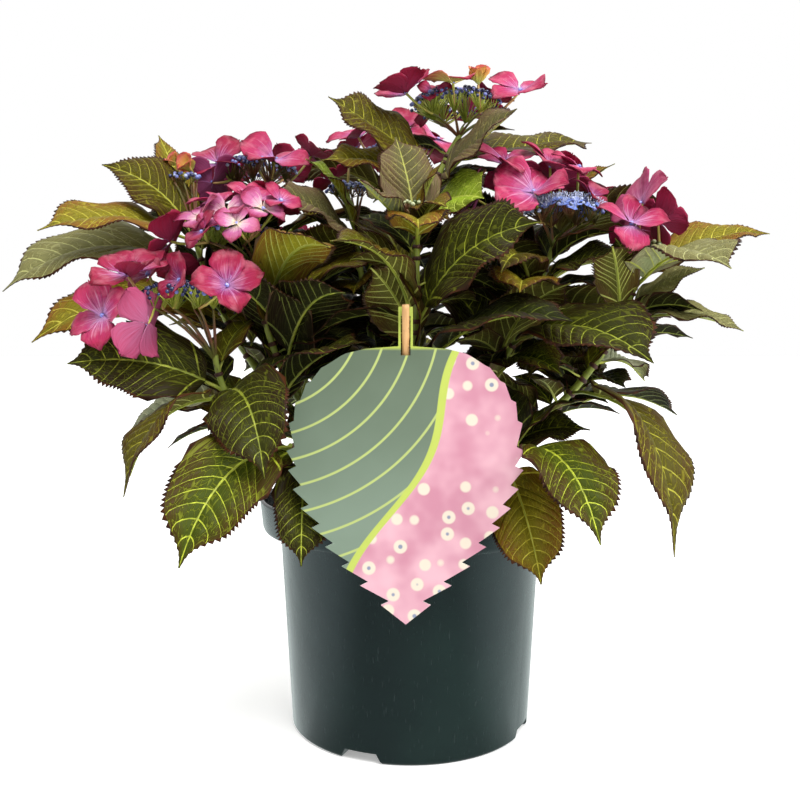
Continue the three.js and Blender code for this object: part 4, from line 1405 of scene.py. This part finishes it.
def spunBmesh(profile, steps):
    bm = bmesh.new()
    verts = [bm.verts.new((radius, 0, height)) for radius, height in profile]
    edges = [bm.edges.new(pair) for pair in zip(verts, verts[1:])]
    bmesh.ops.spin(bm, geom=verts + edges, cent=(0, 0, 0), axis=(0, 0, 1), angle=2 * math.pi,
                   steps=steps, use_merge=True)
    bmesh.ops.remove_doubles(bm, verts=bm.verts, dist=0.001)
    bmesh.ops.recalc_face_normals(bm, faces=bm.faces)
    return bm


def cutWith(piece, cutter):
    knife = piece.modifiers.new("cut", "BOOLEAN")
    knife.operation = "DIFFERENCE"
    knife.solver = "EXACT"
    knife.object = cutter
    bpy.context.view_layer.update()
    seen = piece.evaluated_get(bpy.context.evaluated_depsgraph_get())
    mesh = bpy.data.meshes.new_from_object(seen)
    piece.modifiers.clear()
    piece.data = mesh
    bpy.data.objects.remove(cutter)


def cutterFrom(bm):
    bmesh.ops.scale(bm, vec=(mm, mm, mm), verts=bm.verts)
    return addObject("cutter", meshFromBmesh("cutter", bm))


def notchCutter():
    bm = bmesh.new()
    for count in range(notch["count"]):
        heading = math.radians(notch["firstAngle"] + 360 * count / notch["count"])
        box = bmesh.ops.create_cube(bm, size=1)["verts"]
        tall = notch["height"] + notch["below"]
        bmesh.ops.scale(bm, vec=(notch["reach"], notch["width"], tall), verts=box)
        for vert in box:
            if vert.co.z > 0:
                vert.co.y *= notch["topWidth"] / notch["width"]
        middle = pot["footRadius"] + notch["past"] - notch["reach"] / 2
        rise = (notch["height"] - notch["below"]) / 2
        bmesh.ops.translate(bm, vec=(middle, 0, rise), verts=box)
        bmesh.ops.rotate(bm, cent=(0, 0, 0), matrix=Matrix.Rotation(heading, 3, "Z"), verts=box)
    return cutterFrom(bm)


def potPiece():
    collarFoot = pot["height"] - pot["collarHeight"]
    wall, height = pot["wall"], pot["height"]
    foot, neck, collar, rim = [pot[key + "Radius"] for key in ("foot", "neck", "collar", "rim")]
    profile = [
        (0, 0), (foot - 2, 0), (foot, 2), (neck, collarFoot + 1.5), (collar - 4, collarFoot),
        (collar - 1.2, collarFoot + 1), (collar, collarFoot + 4), (rim, height - 1.2),
        (rim - 1, height), (rim - wall, height), (rim - wall - 1, height - 1.5),
        (collar - wall - 0.6, collarFoot + 6), (neck - wall + 1, collarFoot + 3.5),
        (neck - wall, collarFoot), (foot - wall + 0.8, pot["floor"]), (0, pot["floor"]),
    ]
    bm = spunBmesh(profile, pot["steps"])
    bent = [edge for edge in bm.edges
            if edge.is_manifold and edge.calc_face_angle(0) > math.radians(pot["softened"])]
    bmesh.ops.bevel(bm, geom=bent, offset=pot["bevel"], offset_type="OFFSET", segments=2,
                    profile=0.5, affect="EDGES", material=-1)
    cutWith(pieceFromBmesh("pot_shell", bm, [potFinish()], ["pot"]), notchCutter())


potPiece()

# The compost, with a rough top and loose crumbs
soil = {
    "top": 162, "floor": 12.3, "floorRadius": 88.9, "neckRadius": 96.5, "neck": 149.5,
    "edgeGap": 7.5, "edge": 158, "steps": 96, "rings": 26, "rough": 1.4, "roughScale": 0.12,
    "crumbs": 420, "crumbFrom": 32, "crumbEdge": 4, "crumbSize": (0.8, 2.2), "crumbSink": 0.7,
    "crumbWarp": 0.25, "crumbFlatness": 0.6, "crumbSpread": 0.8, "seed": 61,
    "lumpLevel": 0.6, "fineLumps": (0.6, 2.7),
}


def peatFinish(name, first, second):
    paint = Paint(name)
    lumps = paint.grain(420, 5)
    fibres = paint.patches(700, 0.6, 0.7, 2, (1, 0.2, 1))
    colour = paint.blend(paint.patches(260), hue(first), hue(second))
    colour = paint.blend(fibres * 0.5, colour, hue("4a3423"))
    return paint.finish(colour, lumps * 0.2 + 0.75, lumps, 0.002)


def soilPiece():
    edgeRadius = pot["collarRadius"] - soil["edgeGap"]
    profile = [(0, soil["floor"]), (soil["floorRadius"], soil["floor"]),
               (soil["neckRadius"], soil["neck"]), (edgeRadius, soil["edge"])]
    rings = soil["rings"]
    profile += [(edgeRadius * (1 - ring / rings), soil["top"]) for ring in range(rings + 1)]
    bm = spunBmesh(profile, soil["steps"])
    fine, scale = soil["fineLumps"]
    for vert in bm.verts:
        if vert.co.z > soil["top"] - 1:
            spot = vert.co * soil["roughScale"]
            lumps = soil["lumpLevel"] + noise.noise(spot) + fine * noise.noise(spot * scale)
            vert.co.z -= soil["rough"] * lumps
    peat = peatFinish("peat", "120d0a", "231812")
    pieceFromBmesh("compost", bm, [peat], ["soil"], 180)


def crumbPiece():
    bm = bmesh.new()
    bmesh.ops.create_icosphere(bm, subdivisions=1, radius=1)
    corners, faces = takeShape(bm)
    heap = newHeap()
    draws = np.random.default_rng(soil["seed"])
    last = pot["collarRadius"] - soil["edgeGap"] - soil["crumbEdge"]
    least, spread = soil["crumbSize"]
    for _ in range(soil["crumbs"]):
        turn = 2 * math.pi * draws.random()
        reach = soil["crumbFrom"] + (last - soil["crumbFrom"]) * math.sqrt(draws.random())
        size = least + spread * draws.random()
        flat = soil["crumbFlatness"]
        size = size * np.array([1, flat + draws.random() * soil["crumbSpread"], flat])
        height = soil["top"] - soil["crumbSink"]
        centre = np.array([reach * math.cos(turn), reach * math.sin(turn), height])
        warp = soil["crumbWarp"] * draws.random(corners.shape)
        pour(heap, centre + corners * size + warp, faces)
    crumb = peatFinish("peat_crumb", "1b120c", "38271b")
    pieceFromHeap("compost_crumbs", heap, [crumb])


soilPiece()
crumbPiece()

# The woody crown that the canes grow from
crown = {
    "foot": 162.3, "flareRadius": 31, "radius": 25, "rows": 10, "steps": 48, "relief": 1.3,
    "ridges": (0.32, 0.32, 0.1), "inset": 1.2, "shoulder": 0.96,
}


def woodFinish():
    paint = Paint("old_wood")
    plates = paint.grain(120, 5, (1, 1, 0.3))
    patches = paint.patches(90, 0.35, 0.65, 4, (1, 1, 0.4))
    colour = paint.blend(patches, hue("3d3020"), hue("76613f"))
    return paint.finish(colour, plates * 0.2 + 0.7, plates, 0.0015)


def crownPiece():
    height = stump["top"] - crown["foot"]
    profile = [(0, crown["foot"])]
    for row in range(crown["rows"] + 1):
        share = row / crown["rows"]
        flare = (crown["flareRadius"] - crown["radius"]) * (1 - share) ** 2
        profile.append((crown["radius"] + flare - crown["inset"],
                        crown["foot"] + height * share * crown["shoulder"]))
    profile += [(crown["radius"] * share, stump["top"]) for share in (0.8, 0.4, 0)]
    bm = spunBmesh(profile, crown["steps"])
    for vert in bm.verts:
        flat = Vector((vert.co.x, vert.co.y, 0))
        if flat.length > 1 and vert.co.z > crown["foot"] + 0.5:
            ridge = noise.noise(vert.co * Vector(crown["ridges"]))
            vert.co += flat.normalized() * crown["relief"] * ridge
    pieceFromBmesh("crown", bm, [woodFinish()], ["stump"], 180)


crownPiece()

# The hang label and its bamboo stick
label = {
    "length": 206, "width": 155, "thickness": 1.2, "strapWidth": 9.5, "strapLength": 26,
    "teeth": 9, "toothDepth": 7.5, "upperTeeth": 7, "tipY": -128.4, "tipZ": 112, "leanAngle": 6.9,
    "x": -4, "windowWidth": 6.4, "windowLength": 26, "windowDrop": 6, "widest": 0.62, "border": 0.9,
    "lowPower": 0.9, "toothBack": 0.7, "toothRise": 2.5, "highPower": 0.72, "gap": 0.02,
    "highTooth": (3.2, 1.6),
}


# Lengths in the print are from its tip and its middle line
labelPrint = {
    "slope": (0.86, 0.42), "splitHeight": 92.0, "sway": (0.045, 7.0), "bandHalf": (2.0, 2.5),
    "arcCentre": (-96.0, 205.0), "arcGap": 8.5, "arcHalf": (0.5, 1.0), "dots": (62.0, 0.55),
    "disc": (0.24, 0.3), "core": (0.07, 0.11), "strapFrom": (176.0, 178.0), "fade": (190.0, 50.0),
}


def labelFinish():
    paint = Paint("label_print")
    look = labelPrint
    across = paint.part(paint.place, "X") * 1000.0 - label["x"]
    height = paint.part(paint.place, "Z") * 1000.0 - label["tipZ"]
    turns, swing = look["sway"]
    swing = paint.maths("SINE", height * turns) * swing
    (aside, aloft), splitHeight = look["slope"], look["splitHeight"]
    split = across * aside - (height - splitHeight) * aloft + swing
    arcX, arcZ = look["arcCentre"]
    far = (across - arcX) * (across - arcX) + (height - arcZ) * (height - arcZ)
    ring = paint.maths("PINGPONG", paint.maths("SQRT", far), look["arcGap"])
    arcs = paint.ramp(ring, *look["arcHalf"], 1.0, 0.0)
    depth = paint.ramp(height, *look["fade"]) * 0.85 + paint.patches(22, 0.3, 0.7, 2) * 0.15
    sage = paint.blend(depth, hue("505d4a"), hue("738474"))
    sage = paint.blend(arcs, sage, hue("a3b069"))
    scale, stray = look["dots"]
    dots = paint.node("TexVoronoi", {"feature": "F1"},
                      {"Vector": paint.place, "Scale": scale, "Randomness": stray})
    pink = paint.blend(paint.patches(40, 0.3, 0.7, 2), hue("b57b8d"), hue("cda0ab"))
    pink = paint.blend(paint.ramp(dots, *look["disc"], 1.0, 0.0), pink, hue("ccc1b0"))
    pink = paint.blend(paint.ramp(dots, *look["core"], 1.0, 0.0), pink, hue("7b8298"))
    face = paint.blend(split > 0.0, sage, pink)
    band = paint.ramp(paint.maths("ABSOLUTE", split), *look["bandHalf"], 1.0, 0.0)
    face = paint.blend(band, face, hue("a9b653"))
    face = paint.blend(paint.ramp(height, *look["strapFrom"]), face, hue("9dab49"))
    gloss = paint.grain(500) * 0.1 + 0.28
    return paint.finish(face, gloss, Coat_Weight=0.3, Coat_Roughness=0.15)


# The right half of the outline, from the tip up: slanted teeth, then the shoulder and the strap
def labelHalf():
    corners = [(0, 0)]
    halfWidth, halfStrap = label["width"] / 2, label["strapWidth"] / 2
    bladeLength = label["length"] - label["strapLength"]
    widest = label["widest"]
    for tooth in range(1, label["teeth"] + 1):
        share = tooth / label["teeth"] * widest
        x = math.sin(math.pi / 2 * share / widest) ** label["lowPower"] * halfWidth
        height = share * bladeLength
        inner = max(1, x - label["toothDepth"] * label["toothBack"])
        corners += [(x, height), (inner, height + label["toothRise"])]
    steps, gap = label["upperTeeth"], label["gap"]
    inward, upward = label["highTooth"]
    for step in range(1, steps + 1):
        angle = math.pi / 2 * step / steps
        x = halfWidth * math.cos(angle) ** label["highPower"] if step < steps else 0
        height = bladeLength * (widest + gap + (1 - gap - widest) * math.sin(angle))
        x = max(halfStrap, x)
        corners.append((x, height))
        if step < steps - 1:
            corners.append((x - inward, height + upward))
    return corners + [(halfStrap, label["length"])]


def leanBack(bm):
    lean = Matrix.Rotation(-math.radians(label["leanAngle"]), 3, "X")
    bmesh.ops.rotate(bm, cent=(0, 0, 0), matrix=lean, verts=bm.verts)
    bmesh.ops.translate(bm, vec=(label["x"], label["tipY"], label["tipZ"]), verts=bm.verts)


def labelPiece():
    half = labelHalf()
    points = half + [(-x, height) for x, height in half[:0:-1]]
    bm = bmesh.new()
    front = bm.faces.new([bm.verts.new((x, -label["thickness"], height)) for x, height in points])
    bmesh.ops.inset_region(bm, faces=[front], thickness=label["border"], use_even_offset=True)
    bm.faces.ensure_lookup_table()
    for face in bm.faces:
        face.material_index = 0 if face is front else 1
    back = bmesh.ops.extrude_face_region(bm, geom=bm.faces[:])
    moved = [item for item in back["geom"] if isinstance(item, bmesh.types.BMVert)]
    bmesh.ops.translate(bm, vec=(0, label["thickness"], 0), verts=moved)
    bmesh.ops.recalc_face_normals(bm, faces=bm.faces)
    for face in bm.faces:
        if abs(face.normal.y) < 0.5:
            face.material_index = 1
    leanBack(bm)
    edge = livingFinish("label_edge", "dfe6dc", "eef2ea", rough=(0.35, 0.45))
    skins = [labelFinish(), edge]
    piece = pieceFromBmesh("leaf_label", bm, skins, ["hang_label"], 30)
    bm = bmesh.new()
    box = bmesh.ops.create_cube(bm, size=1)["verts"]
    bmesh.ops.scale(bm, vec=(label["windowWidth"], 8, label["windowLength"]), verts=box)
    top = label["length"] - label["windowDrop"] - label["windowLength"] / 2
    bmesh.ops.translate(bm, vec=(0, 0, top), verts=box)
    leanBack(bm)
    cutWith(piece, cutterFrom(bm))


labelPiece()

stick = {
    "radius": 2.6, "footY": -82, "leanAngle": 10.2, "length": 158, "sides": 16, "rows": 60,
    "joints": (0.22, 0.55, 0.86), "jointShare": 0.008, "thin": 0.94, "swell": 0.12,
}


def stickPiece():
    paint = Paint("bamboo")
    fibre = paint.grain(380, 4, (1, 1, 0.06))
    colour = paint.blend(fibre, hue("a9794a"), hue("d8ae74"))
    colour = paint.blend(paint.patches(160, 0.6, 0.75) * 0.6, colour, hue("7a5230"))
    skin = paint.finish(colour, fibre * 0.2 + 0.45, fibre, 0.0004)
    foot = np.array([label["x"], stick["footY"], soil["top"] + 0.3])
    shares = np.linspace(0, 1, stick["rows"] + 1)
    points = foot + direction(270, 90 - stick["leanAngle"]) * (shares * stick["length"])[:, None]
    swell = sum(np.exp(-((shares - joint) / stick["jointShare"]) ** 2) for joint in stick["joints"])
    radii = stick["radius"] * (stick["thin"] + stick["swell"] * swell)
    heap = newHeap()
    pour(heap, *bendTube(tubeShape(stick["sides"], stick["rows"]), points, radii))
    pieceFromHeap("bamboo_stick", heap, [skin], ["label_stick"])


stickPiece()
print("pot, compost, label and stick made")

# Floor, light and camera
studio = {
    "floorReach": 12.0, "floorHue": "f6f6f5", "floorGlow": 0.38,
    "zenith": 2.1, "horizon": 0.62, "frontShade": 0.25, "frontFrom": -0.85, "frontTo": -0.5,
    "sideFrom": 0.5, "sideFull": 1.0, "sideGlow": 1.1, "paintedPanelHue": "eaf6f4", "behind": 0.05,
    "nearEnd": 0.26, "darkStart": 0.36, "nearGlow": 0.4, "roomGlow": 0.05,
    "key": (0.45, -1.3, 2.2), "keyPower": 44, "keySize": 1.0,
    "fill": (1.7, -0.7, 1.0), "fillPower": 20, "fillSize": 1.2, "aim": (0, 0, 0.28),
}
camera = {"place": (-0.0077, -0.730, 0.298), "pitch": -3.9, "lens": 42.75, "sensor": 36}


# Painted reflection: in gloss rays the floor glows as a dark room ahead of the pot, with bright
# painted panels at its sides
def paintedReflection(paint):
    x, y = paint.part(paint.place, "X"), paint.part(paint.place, "Y")
    reach = paint.maths("SQRT", x * x + y * y)
    aside = paint.maths("ABSOLUTE", x) / (reach + 0.01)
    behind = paint.ramp(y, -studio["behind"], studio["behind"])
    side = paint.ramp(aside + behind, studio["sideFrom"], studio["sideFull"], smooth=True)
    near = paint.ramp(reach, studio["nearEnd"], studio["darkStart"],
                      studio["nearGlow"], studio["roomGlow"], smooth=True)
    glow = near + side * (studio["sideGlow"] - near)
    panel = paint.node("Emission", {}, {"Color": hue(studio["paintedPanelHue"]), "Strength": glow})
    gloss = paint.node("LightPath", out="Is Glossy Ray")
    skin = Value(paint, paint.skin.outputs["BSDF"])
    mixed = paint.node("MixShader", {}, {0: gloss, 1: skin, 2: panel})
    paint.feed(paint.tree.nodes["Material Output"], {"Surface": mixed})


def floorPiece():
    bm = bmesh.new()
    bmesh.ops.create_grid(bm, x_segments=1, y_segments=1, size=studio["floorReach"])
    floor = addObject("floor", meshFromBmesh("floor", bm))
    paint = Paint("floor_pale")
    pale = hue(studio["floorHue"])
    floor.data.materials.append(
        paint.finish(pale, 0.7, Emission_Color=pale, Emission_Strength=studio["floorGlow"]))
    paintedReflection(paint)


def softBox(name):
    spot = studio[name]
    light = addObject(name, bpy.data.lights.new(name, "AREA"))
    light.data.energy = studio[name + "Power"]
    light.data.size = studio[name + "Size"]
    light.location = spot
    aim = Vector(studio["aim"]) - Vector(spot)
    light.rotation_euler = aim.to_track_quat("-Z", "Y").to_euler()


# A white tent, brighter overhead and shaded in front, which the camera sees as plain white
def studioWorld():
    world = bpy.data.worlds.new("studio")
    world.use_nodes = True
    graph = Graph(world.node_tree)
    way = graph.node("TexCoord", out="Generated")
    rise = graph.ramp(graph.part(way, "Z"), 0.0, 1.0, studio["horizon"], studio["zenith"])
    front = graph.ramp(graph.part(way, "Y"), studio["frontFrom"], studio["frontTo"],
                       studio["frontShade"], 1.0)
    light = graph.node("Background", {}, {"Strength": rise * front})
    seen = world.node_tree.nodes["Background"]
    graph.feed(seen, {"Color": (1, 1, 1, 1)})
    toCamera = graph.node("LightPath", out="Is Camera Ray")
    mixed = graph.node("MixShader", {}, {0: toCamera, 1: light, 2: Value(graph, seen.outputs[0])})
    graph.feed(world.node_tree.nodes["World Output"], {"Surface": mixed})
    bpy.context.scene.world = world


def cameraEye():
    eye = addObject("camera", bpy.data.cameras.new("camera"))
    eye.data.lens = camera["lens"]
    eye.data.sensor_width = camera["sensor"]
    eye.location = camera["place"]
    eye.rotation_euler = (math.radians(90 + camera["pitch"]), 0, 0)
    bpy.context.scene.camera = eye


floorPiece()
studioWorld()
softBox("key")
softBox("fill")
cameraEye()
bpy.context.scene.view_settings.view_transform = "Standard"
print("floor, lights and camera set")
